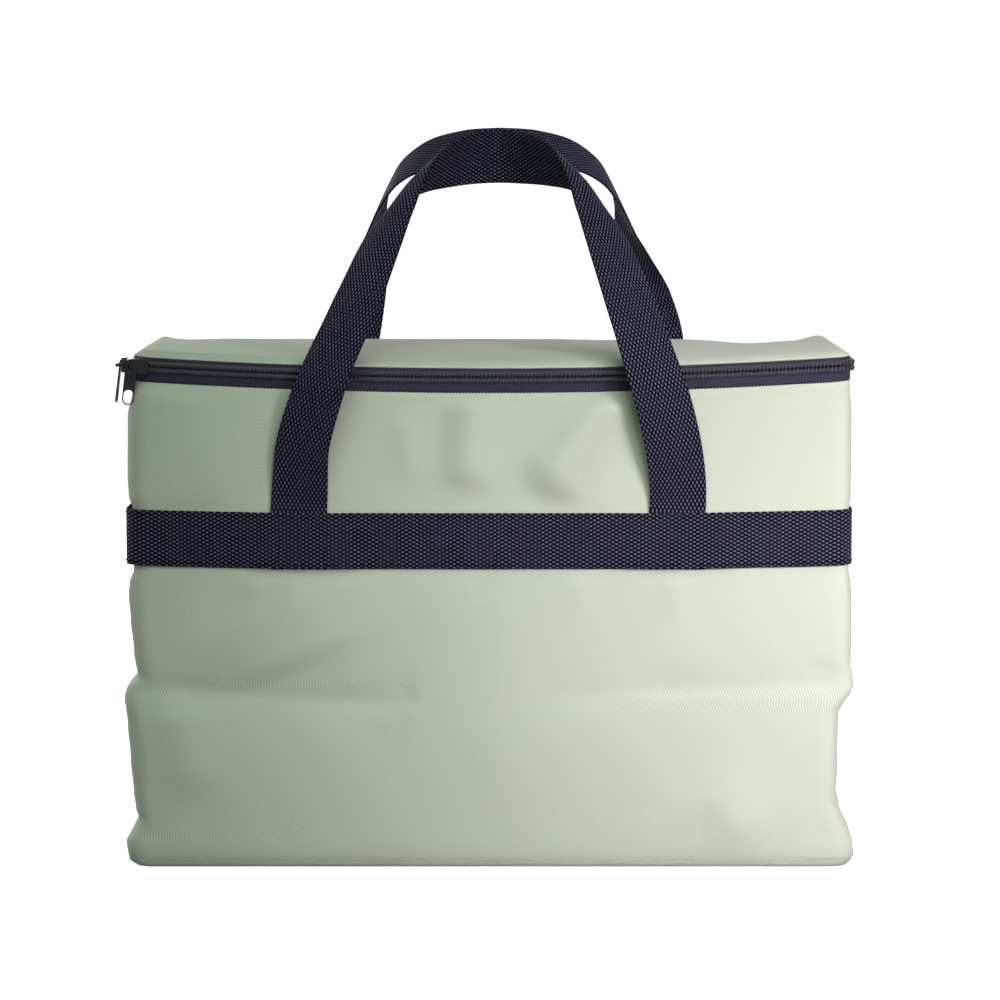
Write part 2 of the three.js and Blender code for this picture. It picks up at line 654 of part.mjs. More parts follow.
// A slider and its tab on one run of the zipper, turned to face out of that side
function addSlider(suffix, place, facing, leanX, leanY) {
  const run = new THREE.Group();
  run.position.copy(place);
  run.rotation.z = facing;
  bag.add(run);
  const slider = addPiece("slider_" + suffix, sliderGeometry(), METAL_NAVY);
  const tab = addPiece("pull_tab_" + suffix, tabGeometry(), METAL_NAVY);
  const middle = SLIDER_PLATE + BRIDGE_CLEAR / 2;
  tab.geometry.translate(0, middle, 0);
  tab.geometry.rotateY(THREE.MathUtils.degToRad(leanY));
  tab.geometry.rotateX(THREE.MathUtils.degToRad(leanX));
  tab.position.set(-POST_X, -middle, 0);
  run.add(slider, tab);
}

function addSliders() {
  const out = COIL_OUT + GAP;
  const frontY = -BODY_DEPTH / 2;
  const frontX = FRONT_SLIDER_INSET - BODY_WIDTH / 2;
  const frontPlace = new THREE.Vector3(frontX, frontY - out, rim(frontX, frontY));
  addSlider("front", frontPlace, 0, 0, FRONT_TAB_LEAN);
  const sidePlace = new THREE.Vector3(-BODY_WIDTH / 2 - out, frontY + SIDE_SLIDER_INSET, RIM_HEIGHT);
  addSlider("side", sidePlace, -Math.PI / 2, -SIDE_TAB_LEAN, 0);
}

addWalls();
addFloor();
addLiner();
addMouthBinding();
addZipper();
addLid();
addHingeStrip();
addWaistBand();
addTails();
addHandles();
addSliders();

export default bag;
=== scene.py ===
"""Looks of a soft cooler bag: twill walls on foam, a zipped lid, a waist band and two handles.

Lengths are millimetres here, and every mesh is written in metres. The front faces -Y and +Z is up.
"""

import json
import logging
import math
from collections.abc import Callable
from dataclasses import dataclass, field, replace
from enum import Enum

import bmesh
import bpy
import numpy as np
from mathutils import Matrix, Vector

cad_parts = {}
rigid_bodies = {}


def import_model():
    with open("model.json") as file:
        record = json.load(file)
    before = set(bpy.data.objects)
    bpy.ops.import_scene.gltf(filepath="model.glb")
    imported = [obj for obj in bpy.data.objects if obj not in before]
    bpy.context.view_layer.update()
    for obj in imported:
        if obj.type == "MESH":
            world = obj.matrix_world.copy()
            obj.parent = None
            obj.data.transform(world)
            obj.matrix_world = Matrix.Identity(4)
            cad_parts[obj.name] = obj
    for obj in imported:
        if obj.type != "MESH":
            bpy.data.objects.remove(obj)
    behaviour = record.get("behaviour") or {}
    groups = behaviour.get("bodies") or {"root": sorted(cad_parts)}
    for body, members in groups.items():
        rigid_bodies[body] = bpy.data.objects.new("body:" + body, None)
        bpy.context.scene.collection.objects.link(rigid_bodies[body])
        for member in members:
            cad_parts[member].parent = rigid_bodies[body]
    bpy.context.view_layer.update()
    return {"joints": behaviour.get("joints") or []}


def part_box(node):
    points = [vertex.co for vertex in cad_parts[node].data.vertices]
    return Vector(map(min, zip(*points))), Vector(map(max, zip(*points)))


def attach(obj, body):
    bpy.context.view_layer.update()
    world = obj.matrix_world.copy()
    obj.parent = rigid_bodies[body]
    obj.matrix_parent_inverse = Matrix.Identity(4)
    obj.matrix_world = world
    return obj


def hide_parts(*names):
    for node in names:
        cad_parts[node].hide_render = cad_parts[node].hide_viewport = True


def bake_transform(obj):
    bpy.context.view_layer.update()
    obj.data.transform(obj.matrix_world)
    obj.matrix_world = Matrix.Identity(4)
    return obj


for leftover in list(bpy.data.objects):
    bpy.data.objects.remove(leftover)

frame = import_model()
MM = 0.001
LOG = logging.getLogger("cooler_bag")


class Slot(Enum):
    """Finish slots of the record."""

    SHELL = "shell_fabric"
    WEBBING = "webbing"
    TAPE = "zipper_tape"
    COIL = "zipper_coil"
    METAL = "zipper_metal"
    FOAM = "foam"
    LINER = "liner"
    BINDING = "binding"


class Side(Enum):
    """Sides of the bag, each with the direction that it faces in plan."""

    FRONT = (0, -1)
    RIGHT = (1, 0)
    BACK = (0, 1)
    LEFT = (-1, 0)


class Body(Enum):
    """Bodies of the frame that pieces ride on."""

    BAG = "bag"
    LID = "lid"
    FRONT_HANDLE = "front_handle"
    BACK_HANDLE = "back_handle"
    FRONT_SLIDER = "front_slider"
    FRONT_TAB = "front_pull_tab"
    SIDE_SLIDER = "side_slider"
    SIDE_TAB = "side_pull_tab"


Point = tuple[float, float, float]
Levels = tuple[tuple[float, float], ...]
Rise = Callable[[float, np.ndarray], np.ndarray]


def smooth(share: np.ndarray) -> np.ndarray:
    """Eased share, 0 below 0 and 1 above 1."""
    held = np.clip(share, 0, 1)
    return held * held * (3 - 2 * held)


def unit(vectors: np.ndarray) -> np.ndarray:
    """The vectors at length one."""
    return vectors / np.linalg.norm(vectors, axis=-1, keepdims=True)


def distances(points: np.ndarray) -> np.ndarray:
    """Distance of each of some points from the first, along the line through them."""
    steps = np.linalg.norm(np.diff(points, axis=0), axis=1)
    return np.concatenate([[0], np.cumsum(steps)])


def resampled(points: np.ndarray, at: np.ndarray, wanted: np.ndarray) -> np.ndarray:
    """Rows of numbers known at some places, read off between them at the wanted places."""
    return np.stack([np.interp(wanted, at, row) for row in points.T], -1)


def eased(levels: Levels, at: np.ndarray) -> np.ndarray:
    """Value at a height, eased between (height, value) levels.

    Args:
        levels: the levels in rising order.
        at: heights.

    Returns:
        The values, level at each of the levels.
    """
    heights, values = np.array(levels, float).T
    low = np.clip(np.searchsorted(heights, at, side="right") - 1, 0, len(heights) - 2)
    share = smooth((at - heights[low]) / (heights[low + 1] - heights[low]))
    return values[low] + (values[low + 1] - values[low]) * share


# Mesh making


@dataclass
class Grid:
    """Grid of points in rows and columns that becomes one closed mesh.

    Attributes:
        points: rows by columns by 3, in millimetres.
        cloth: the same grid's places on the flat cloth, one column or row longer where it wraps.
        wrap_rows: whether the last row meets the first; where it doesn't, a face closes each.
    """

    points: np.ndarray
    cloth: np.ndarray
    wrap_rows: bool = False

    def faces(self) -> tuple[np.ndarray, np.ndarray]:
        """Quads of the grid and the places on the cloth of their corners."""
        rows, cols = self.points.shape[:2]
        i, j = np.indices(np.subtract(self.cloth.shape[:2], 1))
        corners = [(i, j), (i, j + 1), (i + 1, j + 1), (i + 1, j)]
        quads = np.stack([(a % rows) * cols + b % cols for a, b in corners], -1).reshape(-1, 4)
        places = np.stack([self.cloth[a, b] for a, b in corners], -2).reshape(-1, 4, 2)
        return quads, places

    def build(self, name: str) -> bpy.types.Object:
        """Mesh object of the grid, its faces turned outward.

        Args:
            name: the piece's name.

        Returns:
            The new object, in metres.
        """
        rows, cols = self.points.shape[:2]
        points = self.points.reshape(-1, 3) * MM
        quads, places = self.faces()
        a, b, c, d = (points[quads[:, k]] for k in range(4))
        flipped = np.sum(a * (np.cross(b, c) + np.cross(c, d))) < 0
        if flipped:
            quads, places = quads[:, ::-1], places[:, ::-1]
        faces = quads.tolist()
        if not self.wrap_rows:
            first = list(range(cols))[::-1]
            last = [(rows - 1) * cols + k for k in range(cols)]
            faces += [face[::-1] for face in (first, last)] if flipped else [first, last]
        mesh = bpy.data.meshes.new(name)
        mesh.from_pydata(points.tolist(), [], faces)
        layer = mesh.uv_layers.new(name="Cloth")
        flat = np.zeros((len(mesh.loops), 2))
        flat[: places.size // 2] = places.reshape(-1, 2) * MM
        layer.data.foreach_set("uv", flat.astype(np.float32).ravel())
        mesh.shade_smooth()
        return link(bpy.data.objects.new(name, mesh))


def link(piece: bpy.types.Object) -> bpy.types.Object:
    """Puts an object in the scene and returns it."""
    bpy.context.scene.collection.objects.link(piece)
    return piece


def dress(
    piece: bpy.types.Object,
    body: Body,
    finish: bpy.types.Material,
    nodes: tuple[str, ...] = (),
) -> bpy.types.Object:
    """Gives a piece its finish and body, and says which nodes it stands for.

    Args:
        piece: the piece.
        body: the body that carries it.
        finish: its material.
        nodes: the CAD nodes that it stands for.

    Returns:
        The piece.
    """
    piece.data.materials.clear()
    piece.data.materials.append(finish)
    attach(piece, body.value)
    note(piece, nodes)
    return piece


def note(piece: bpy.types.Object, nodes: tuple[str, ...]) -> None:
    """Hides the nodes that a piece stands for, if any, and reports the piece."""
    if nodes:
        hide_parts(*nodes)
    shown_for = ", ".join(nodes) or "trim"
    LOG.info("%s: %d faces, for %s", piece.name, len(piece.data.polygons), shown_for)


# Shape of the body


@dataclass(frozen=True)
class Fold:
    """Crease or roll of a soft wall between two places on it.

    Attributes:
        start: where it starts, along the wall and up it.
        end: where it ends.
        rise: how far it stands out; a valley is negative.
        above: its reach on the left of its direction.
        below: its reach on the right of its direction.
        power: 1 for a sharp crease, 2 for a soft roll.
        fades: shares of its length over which it fades in and out.
    """

    start: tuple[float, float]
    end: tuple[float, float]
    rise: float
    above: float
    below: float
    power: float = 2.0
    fades: tuple[float, float] = (0.3, 0.3)

    def offset(self, u: np.ndarray, v: np.ndarray) -> np.ndarray:
        """How far the wall stands out at places along it and up it."""
        run = np.subtract(self.end, self.start)
        length = math.hypot(*run)
        du, dv = u - self.start[0], v - self.start[1]
        share = np.clip((du * run[0] + dv * run[1]) / length**2, 0, 1)
        away = np.hypot(du - share * run[0], dv - share * run[1])
        side = run[0] * dv - run[1] * du
        reach = np.where(side > 0, self.above, self.below)
        faded = np.ones_like(share)
        for part, fade in zip((share, 1 - share), self.fades):
            if fade > 0:
                faded = faded * smooth(part / fade)
        return self.rise * faded * np.exp(-((away / reach) ** self.power))


@dataclass
class Columns:
    """Columns round the outline, from the middle of the back by the left, front and right.

    Attributes:
        run: rows of (share across, share along, facing x, facing y).
        length: each column's distance round the outline, with the whole way round added.
    """

    run: np.ndarray
    length: np.ndarray

    def part(self, first: int, last: int) -> "Columns":
        """The columns from first up to and with last."""
        return Columns(self.run[first : last + 1], self.length[first : last + 1])


@dataclass(frozen=True)
class BagOutline:
    """Plan outline of the soft body and how it sags and folds with height.

    Attributes:
        half_width, half_depth, rim_height: full size of the body.
        band_low, band_high: the waist band's lower and upper edge.
        rim_sag: how far the rim hangs in the middle of the front.
        corner: plan radius of the corners.
        tape_clear: height below the rim that has no folds.
        fade, top_fade: heights over which the folds fade by the band and base, and by the rim.
        folds: folds of each side.
        left_tucks, right_tucks: how far those sides stand in at a height.
        depth_tucks: the same for the front and the back.
    """

    half_width: float
    half_depth: float
    rim_height: float
    band_low: float
    band_high: float
    folds: dict[Side, tuple[Fold, ...]]
    rim_sag: float = 6.3
    corner: float = 10
    tape_clear: float = 9
    fade: float = 8
    top_fade: float = 7
    left_tucks: Levels = (
        (0, -1), (4, -4), (13.6, -5), (20, -1), (25, 2), (30, 0.3), (39, -0.9), (58, -2.5),
        (77, -4.2), (84, -5.4), (90, -6.8), (95, -5.4), (101, 1.6), (115, -0.3), (134, -2),
        (145, -2.9), (152, -2.4), (159, 0), (191, 0), (198, -2.4), (208, -2.9), (240, -2.6),
        (256, 0.5), (262, 1),
    )
    right_tucks: Levels = (
        (0, -1), (6, -4), (14, -3), (20, -1.2), (27, 2.9), (33, 4.7), (40, 6.2), (52, 5.2),
        (82, 4.8), (87, 2), (91, -1.8), (96, -4.2), (102, -3.2), (108, -1.8), (145, -1.6),
        (152, -1.2), (159, 0), (191, 0), (198, -0.9), (244, -0.9), (256, 0), (268, 0),
    )
    depth_tucks: Levels = ((0, 1.5), (12, 0), (268, 0))

    def rim(self, x: np.ndarray, y: np.ndarray) -> np.ndarray:
        """Height of the middle of the zipper chain at a place in plan."""
        across = np.minimum(1, np.abs(x) / self.half_width)
        forward = np.clip(0.5 - y / (2 * self.half_depth), 0, 1)
        return self.rim_height - self.rim_sag * (1 - across**2) * forward

    def columns(self, spacing: float) -> Columns:
        """Columns round the whole outline, about spacing apart."""
        across = max(2, round(2 * (self.half_width - self.corner) / spacing / 2) * 2)
        along = max(2, round(2 * (self.half_depth - self.corner) / spacing))
        turns = max(3, round(self.corner * math.pi / 2 / spacing))
        run = []
        sides = (
            (Side.BACK, Side.LEFT, (0, 1), (-1, 1), across // 2),
            (Side.LEFT, Side.FRONT, (-1, 1), (-1, -1), along),
            (Side.FRONT, Side.RIGHT, (-1, -1), (1, -1), across),
            (Side.RIGHT, Side.BACK, (1, -1), (1, 1), along),
        )
        for side, turned, start, end, steps in sides:
            for share in np.arange(steps) / steps:
                place = np.array(start) + np.subtract(end, start) * share
                run.append((*place, *side.value))
            for angle in np.arange(turns) / turns * math.pi / 2:
                facing = np.array(side.value) * math.cos(angle)
                facing = facing + np.array(turned.value) * math.sin(angle)
                run.append((*end, *facing))
        run += [(1 - 2 * k / across, 1, *Side.BACK.value) for k in range(across // 2)]
        run = np.array(run, float)
        place = run[:, :2] * (self.half_width - self.corner, self.half_depth - self.corner)
        place = place + run[:, 2:] * self.corner
        return Columns(run, distances(np.vstack([place, place[:1]])))

    def slack(self, z: np.ndarray, top: np.ndarray) -> np.ndarray:
        """Share of the folds at a height: none under the band and the tape and at the base."""
        over = smooth((z - self.band_high - 1) / self.fade)
        over = over + smooth((self.band_low - 1 - z) / self.fade)
        return over * smooth((top - z) / self.top_fade) * smooth((z - 1) / self.fade)

    def wall(self, columns: Columns, inset: np.ndarray, z: np.ndarray) -> np.ndarray:
        """Points of the columns at some heights.

        Args:
            columns: the columns.
            inset: how far inside the outer face, a number or rows by columns.
            z: heights, rows by columns or rows by 1.

        Returns:
            Rows by columns by 3.
        """
        cx, cy, nx, ny = columns.run.T
        z = np.asarray(z, float) + np.zeros((1, len(cx)))
        tuck = np.where(cx < 0, eased(self.left_tucks, z), eased(self.right_tucks, z))
        x = cx * (self.half_width - tuck - self.corner) + nx * (self.corner - inset)
        tuck = eased(self.depth_tucks, z)
        y = cy * (self.half_depth - tuck - self.corner) + ny * (self.corner - inset)
        top = self.rim(x, y) - self.tape_clear
        out = np.zeros_like(z)
        for side, folds in self.folds.items():
            facing = np.maximum(0, nx * side.value[0] + ny * side.value[1]) ** 2
            along = x if side.value[0] == 0 else y
            out = out + facing * sum(fold.offset(along, z) for fold in folds)
        out = out * self.slack(z, top)
        return np.stack([x + nx * out, y + ny * out, z], -1)

    def level(self, columns: Columns, inset: float, z: float) -> np.ndarray:
        """Points of the columns at one height."""
        return self.wall(columns, inset, np.array([[z]]))[0]

    def along_rim(self, columns: Columns, inset: float, up: float | np.ndarray) -> np.ndarray:
        """Points of the columns at a rise above the rim, which sags."""
        points = self.level(columns, inset, self.rim_height)
        points[:, 2] = self.rim(points[:, 0], points[:, 1]) + up
        return points

    def ring(self, columns: Columns, inset: float, z: float) -> np.ndarray:
        """One closed ring at a height, drawn in towards the middle past the corners' radius."""
        near = min(inset, self.corner - 1)
        points = self.level(columns, near, z)
        points[:, 0] *= 1 - (inset - near) / self.half_width
        points[:, 1] *= 1 - (inset - near) / self.half_depth
        return points


def mirrored(folds: tuple[Fold, ...]) -> tuple[Fold, ...]:
    """The same folds on the far side, where their places along the wall run the other way."""
    return tuple(
        replace(f, start=(-f.end[0], f.end[1]), end=(-f.start[0], f.start[1]), fades=f.fades[::-1])
        for f in folds
    )


# Folds of the front: places are to the right of its middle and up from the floor.
FRONT_FOLDS = (
    Fold((-196, 95), (-160, 94.6), -2.8, 9, 5, 1.1, (0, 0)),
    Fold((-178, 95), (-36, 87), -4.6, 13, 17, 1.1, (0.2, 0.1)),
    Fold((-112, 150), (-96, 104), 4.0, 44, 44, 2, (0.3, 0.3)),
    Fold((-42, 90), (-62, 70), 2.2, 10, 9, 2, (0.2, 0.5)),
    Fold((-142, 113), (-136, 99), -0.9, 4, 3, 1.5, (0.3, 0.5)),
    Fold((4, 88.5), (93, 95), -1.9, 13, 6, 1.1, (0.5, 0)),
    Fold((93, 95), (190, 99), -2.4, 13, 5, 1.1, (0, 0)),
    Fold((162, 113), (190, 100), -1.0, 3, 3, 1.6, (0.5, 0)),
    Fold((168, 104), (190, 92), -0.9, 2.5, 2.5, 1.6, (0.5, 0)),
    Fold((172, 100), (190, 84), -0.8, 2.5, 2.5, 1.6, (0.5, 0)),
    Fold((-10, 257), (-14, 196), 5.4, 12, 12, 2, (0.1, 0.3)),
    Fold((-46, 248), (-42, 200), 2.2, 9, 9, 2, (0.3, 0.4)),
    Fold((66, 256), (24, 194), 8.0, 14, 16, 2, (0.1, 0.3)),
    Fold((-78, 253), (-84, 236), -0.9, 4, 4, 2, (0.2, 0.6)),
    Fold((-190, 262), (-128, 196), 3.4, 34, 30, 2, (0.1, 0.3)),
    Fold((-168, 254), (-176, 240), 0.8, 3, 4, 2, (0.3, 0.5)),
    Fold((-122, 160), (-126, 130), 1.8, 9, 8, 2, (0.2, 0.6)),
    Fold((-104, 158), (-108, 134), 1.3, 7, 7, 2, (0.2, 0.6)),
    Fold((-4, 158), (-2, 140), -0.8, 5, 5, 2, (0.2, 0.6)),
    Fold((99, 158), (95, 128), 1.6, 7, 7, 2, (0.2, 0.6)),
    Fold((49, 158), (41, 128), 1.4, 8, 8, 2, (0.2, 0.6)),
    Fold((3, 158), (5, 26), 2.2, 28, 28, 1.3, (0.15, 0.3)),
    Fold((60, 44), (165, 18), 0.9, 22, 22, 2, (0.2, 0.3)),
    Fold((-164, 90), (-158, 30), 4.2, 17, 15, 2, (0.2, 0.4)),
    Fold((174, 36), (190, 30), -0.8, 3, 3, 1.6, (0.5, 0)),
    Fold((166, 22), (190, 13), -1.0, 4, 4, 1.6, (0.5, 0)),
    Fold((116, 48), (138, 10), 2.4, 16, 12, 2, (0.3, 0.3)),
    Fold((-190, 22), (-172, 15), -0.9, 4, 4, 1.6, (0, 0.5)),
)
# Folds of the right side: places are behind its middle and up from the floor.
SIDE_FOLDS = (
    Fold((0, 150), (3, 24), -3.2, 34, 34, 2, (0.35, 0.3)),
    Fold((-95, 93), (-20, 86), -1.4, 12, 6, 1.2, (0, 0.6)),
    Fold((95, 92), (24, 84), -1.3, 12, 6, 1.2, (0, 0.6)),
    Fold((-40, 254), (-30, 205), -0.9, 9, 9, 2, (0.3, 0.5)),
    Fold((38, 252), (52, 208), 0.9, 10, 10, 2, (0.3, 0.5)),
    Fold((-60, 60), (-84, 22), 1.0, 9, 9, 2, (0.3, 0.4)),
)
# Folds of the back: places are as on the front, seen from there.
BACK_FOLDS = (
    Fold((-196, 94), (-60, 90), -2.4, 13, 6, 1.1, (0, 0.5)),
    Fold((30, 88), (196, 95), -2.4, 13, 6, 1.1, (0.5, 0)),
    Fold((-60, 244), (-40, 205), -1.1, 9, 9, 2, (0.3, 0.5)),
    Fold((24, 244), (58, 206), 1.1, 10, 10, 2, (0.3, 0.5)),
    Fold((-30, 154), (-26, 104), 0.8, 17, 17, 2, (0.2, 0.3)),
    Fold((-10, 78), (-110, 24), 1.0, 24, 24, 2, (0.3, 0.3)),
    Fold((80, 70), (150, 22), -0.9, 20, 20, 2, (0.3, 0.3)),
)


def bag_outline() -> BagOutline:
    """The outline, its full size read off the frame."""
    low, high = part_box("waist_band")
    hinge = next(joint for joint in frame["joints"] if joint["name"] == "lid_hinge")
    return BagOutline(
        half_width=-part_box("left_side_panel")[0].x / MM,
        half_depth=-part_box("front_panel")[0].y / MM,
        rim_height=hinge["pos_m"][2] / MM,
        band_low=low.z / MM,
        band_high=high.z / MM,
        folds={
            Side.FRONT: FRONT_FOLDS,
            Side.RIGHT: SIDE_FOLDS,
            Side.BACK: BACK_FOLDS,
            Side.LEFT: mirrored(SIDE_FOLDS),
        },
    )


# Node helpers


class Nodes:
    """Adds nodes to one node tree and joins them."""

    def __init__(self, tree: bpy.types.NodeTree) -> None:
        """Starts on a tree, emptied of its nodes."""
        self.tree = tree
        tree.nodes.clear()

    def add(self, kind: str, inputs: dict | None = None, **settings: object) -> bpy.types.Node:
        """Adds a node.

        Args:
            kind: the node's type.
            inputs: values or sockets by input name or number.
            settings: the node's own settings.

        Returns:
            The node.
        """
        made = self.tree.nodes.new(kind)
        for name, value in settings.items():
            setattr(made, name, value)
        for name, value in (inputs or {}).items():
            self.feed(made.inputs[name], value)
        return made

    def feed(self, socket: bpy.types.NodeSocket, value: object) -> None:
        """Joins a socket to an input, or sets the input's value."""
        if isinstance(value, bpy.types.NodeSocket):
            self.tree.links.new(value, socket)
        else:
            socket.default_value = value

    def math(self, operation: str, *values: object) -> bpy.types.NodeSocket:
        """Result of a Math node on up to three values or sockets."""
        made = self.add("ShaderNodeMath", dict(enumerate(values)), operation=operation)
        return made.outputs[0]

    def mix(self, share: object, first: object, second: object) -> bpy.types.NodeSocket:
        """Colour between two colours."""
        made = self.add("ShaderNodeMix", data_type="RGBA")
        for index, value in ((0, share), (6, first), (7, second)):
            self.feed(made.inputs[index], value)
        return made.outputs[2]

    def spot(self) -> bpy.types.NodeSocket:
        """Place in the object's own coordinates."""
        return self.add("ShaderNodeTexCoord").outputs["Object"]

    def cloth(self) -> bpy.types.NodeSocket:
        """Place on the flat cloth."""
        return self.add("ShaderNodeUVMap", uv_map="Cloth").outputs[0]

    def turn(self, place: object, length: object) -> bpy.types.NodeSocket:
        """Angle of a wave at a place, one turn for each length."""
        return self.math("MULTIPLY", self.math("DIVIDE", place, length), 2 * math.pi)


def group(
    name: str, inputs: dict[str, float], outputs: tuple[str, ...]
) -> tuple[Nodes, dict[str, bpy.types.NodeSocket], bpy.types.Node]:
    """Starts a shader node group.

    Args:
        name: the group's name.
        inputs: its number inputs and their first values. A vector input named Place comes first.
        outputs: its number outputs.

    Returns:
        The group's nodes, its input sockets by name and its output node.
    """
    tree = bpy.data.node_groups.new(name, "ShaderNodeTree")
    tree.interface.new_socket("Place", in_out="INPUT", socket_type="NodeSocketVector")
    for key, value in inputs.items():
        socket = tree.interface.new_socket(key, in_out="INPUT", socket_type="NodeSocketFloat")
        socket.default_value = value
    for key in outputs:
        tree.interface.new_socket(key, in_out="OUTPUT", socket_type="NodeSocketFloat")
    nodes = Nodes(tree)
    taken = nodes.add("NodeGroupInput")
    return nodes, {socket.name: socket for socket in taken.outputs}, nodes.add("NodeGroupOutput")


def twill_group() -> bpy.types.NodeTree:
    """Twill weave: slanted ribs broken into yarn beads. Puts out Ribs and Height."""
    sizes = {"Pitch": 1.5 * MM, "Slope": 1.3, "Bead": 0.7 * MM}
    nodes, taken, out = group("Twill", sizes, ("Ribs", "Height"))
    right, up, _ = nodes.add("ShaderNodeSeparateXYZ", {0: taken["Place"]}).outputs
    across = nodes.math("ADD", right, nodes.math("DIVIDE", up, taken["Slope"]))
    turn = nodes.turn(across, taken["Pitch"])
    ribs = nodes.math("MULTIPLY_ADD", nodes.math("SINE", turn), 0.5, 0.5)
    bead = nodes.math("ADD", nodes.turn(up, taken["Bead"]), turn)
    beads = nodes.math("MULTIPLY_ADD", nodes.math("SINE", bead), 0.5, 0.5)
    nodes.feed(out.inputs["Ribs"], ribs)
    nodes.feed(out.inputs["Height"], nodes.math("MULTIPLY_ADD", beads, 0.25, ribs))
    return nodes.tree


def grain_group() -> bpy.types.NodeTree:
    """Uneven dye and fibre: a broad and a fine noise. Puts out Broad and Fine, both about 0.5."""
    nodes, taken, out = group("Grain", {"Broad scale": 14, "Fine scale": 900}, ("Broad", "Fine"))
    for name in ("Broad", "Fine"):
        values = {"Vector": taken["Place"], "Scale": taken[f"{name} scale"]}
        nodes.feed(out.inputs[name], nodes.add("ShaderNodeTexNoise", values).outputs[0])
    return nodes.tree


def weave_group() -> bpy.types.NodeTree:
    """Columns of floats, each half a float off the next. Puts out Float and Dip."""
    sizes = {"Pitch": 1.054 * MM, "Length": 3.9 * MM, "Edge": 3.0}
    nodes, taken, out = group("Weave", sizes, ("Float", "Dip"))
    across, along, _ = nodes.add("ShaderNodeSeparateXYZ", {0: taken["Place"]}).outputs
    pair = nodes.math("MULTIPLY", taken["Pitch"], 2.0)
    column = nodes.math("SINE", nodes.turn(across, pair))
    woven = nodes.math("MULTIPLY", column, nodes.math("COSINE", nodes.turn(along, taken["Length"])))
    raised = nodes.math("MAXIMUM", woven, 0.0)
    full = nodes.math("MULTIPLY_ADD", raised, taken["Edge"], -0.4)
    held = nodes.add("ShaderNodeClamp", {0: full}).outputs[0]
    nodes.feed(out.inputs["Float"], raised)
    nodes.feed(out.inputs["Dip"], nodes.math("SUBTRACT", 1.0, held))
    return nodes.tree


GROUPS = {maker.__name__: maker() for maker in (twill_group, grain_group, weave_group)}


def use_group(nodes: Nodes, name: str, **inputs: object) -> dict[str, bpy.types.NodeSocket]:
    """Places a shared node group and returns its outputs; an input's name has _ for a space."""
    made = nodes.add("ShaderNodeGroup", node_tree=GROUPS[name])
    for key, value in inputs.items():
        nodes.feed(made.inputs[key.replace("_", " ")], value)
    return {socket.name: socket for socket in made.outputs}


# Finishes


Colour = tuple[float, float, float, float]


@dataclass(frozen=True)
class Finish:
    """What every finish has: a name, a colour and how it shines."""

    name: str
    colour: Colour
    roughness: float

    def start(self, **values: float) -> tuple[bpy.types.Material, Nodes, bpy.types.Node]:
        """New material with a Principled shader.

        Args:
            values: other values of the shader by the input's name, with _ for a space.

        Returns:
            The material, its nodes and the shader.
        """
        material = bpy.data.materials.new(self.name)
        material.use_nodes = True
        material.diffuse_color = self.colour
        nodes = Nodes(material.node_tree)
        inputs = {"Base Color": self.colour, "Roughness": self.roughness}
        inputs |= {key.replace("_", " "): value for key, value in values.items()}
        shader = nodes.add("ShaderNodeBsdfPrincipled", inputs)
        nodes.add("ShaderNodeOutputMaterial", {"Surface": shader.outputs[0]})
        return material, nodes, shader

    def shade(self, share: float) -> Colour:
        """The colour made darker or lighter by a share."""
        return (*(min(1.0, part * share) for part in self.colour[:3]), 1.0)

    def bump(
        self, nodes: Nodes, shader: bpy.types.Node, height: object, depth: float, strength: float
    ) -> None:
        """Adds a bump of some height in metres to the shader."""
        values = {"Height": height, "Distance": depth, "Strength": strength}
        nodes.feed(shader.inputs["Normal"], nodes.add("ShaderNodeBump", values).outputs[0])

    def grain(
        self, nodes: Nodes, broad: float = 14, fine: float = 900
    ) -> dict[str, bpy.types.NodeSocket]:
        """Broad and fine noise on the object's own coordinates, at some scales."""
        scales = {"Broad_scale": broad, "Fine_scale": fine}
        return use_group(nodes, "grain_group", Place=nodes.spot(), **scales)

    def uneven(self, nodes: Nodes, grain: object, swing: float) -> bpy.types.NodeSocket:
        """Roughness that swings with the grain about the finish's own."""
        return nodes.math("MULTIPLY_ADD", grain, swing, self.roughness - swing / 2)


@dataclass(frozen=True)
class TwillFinish(Finish):
    """Matt twill with slanted ribs, painted shade in their grooves and a painted highlight on them,
    and slightly uneven dye.

    Attributes:
        groove_shade, rib_highlight: how bright the painted shade in the grooves and the painted
            highlight on the ribs are against the colour.
        rib_depth, relief: height of the ribs in the bump, and the bump's strength.
        dyed: how bright the uneven dye is where it is deepest.
        dye, dye_start: how much of it the broad noise brings in, and where that starts.
        fuzz: height of the fibre against the ribs.
        swing: how far the roughness swings.
    """

    groove_shade: float = 0.8
    rib_highlight: float = 1.12
    rib_depth: float = 0.09 * MM
    relief: float = 0.55
    dyed: float = 0.72
    dye: float = 0.16
    dye_start: float = -0.03
    fuzz: float = 0.25
    swing: float = 0.16

    def material(self) -> bpy.types.Material:
        """Builds the material; the pattern lies on the cloth."""
        material, nodes, shader = self.start(
            Sheen_Weight=0.12, Sheen_Roughness=0.45, Specular_IOR_Level=0.15
        )
        twill = use_group(nodes, "twill_group", Place=nodes.cloth())
        grain = self.grain(nodes)
        # Painted shade in the grooves of the ribs and a painted highlight on their tops.
        ribs = nodes.mix(twill["Ribs"], self.shade(self.groove_shade), self.shade(self.rib_highlight))
        dye = nodes.math("MULTIPLY_ADD", grain["Broad"], self.dye, self.dye_start)
        nodes.feed(shader.inputs["Base Color"], nodes.mix(dye, ribs, self.shade(self.dyed)))
        height = nodes.math("MULTIPLY_ADD", grain["Fine"], self.fuzz, twill["Height"])
        self.bump(nodes, shader, height, self.rib_depth, self.relief)
        nodes.feed(shader.inputs["Roughness"], self.uneven(nodes, grain["Fine"], self.swing))
        return material


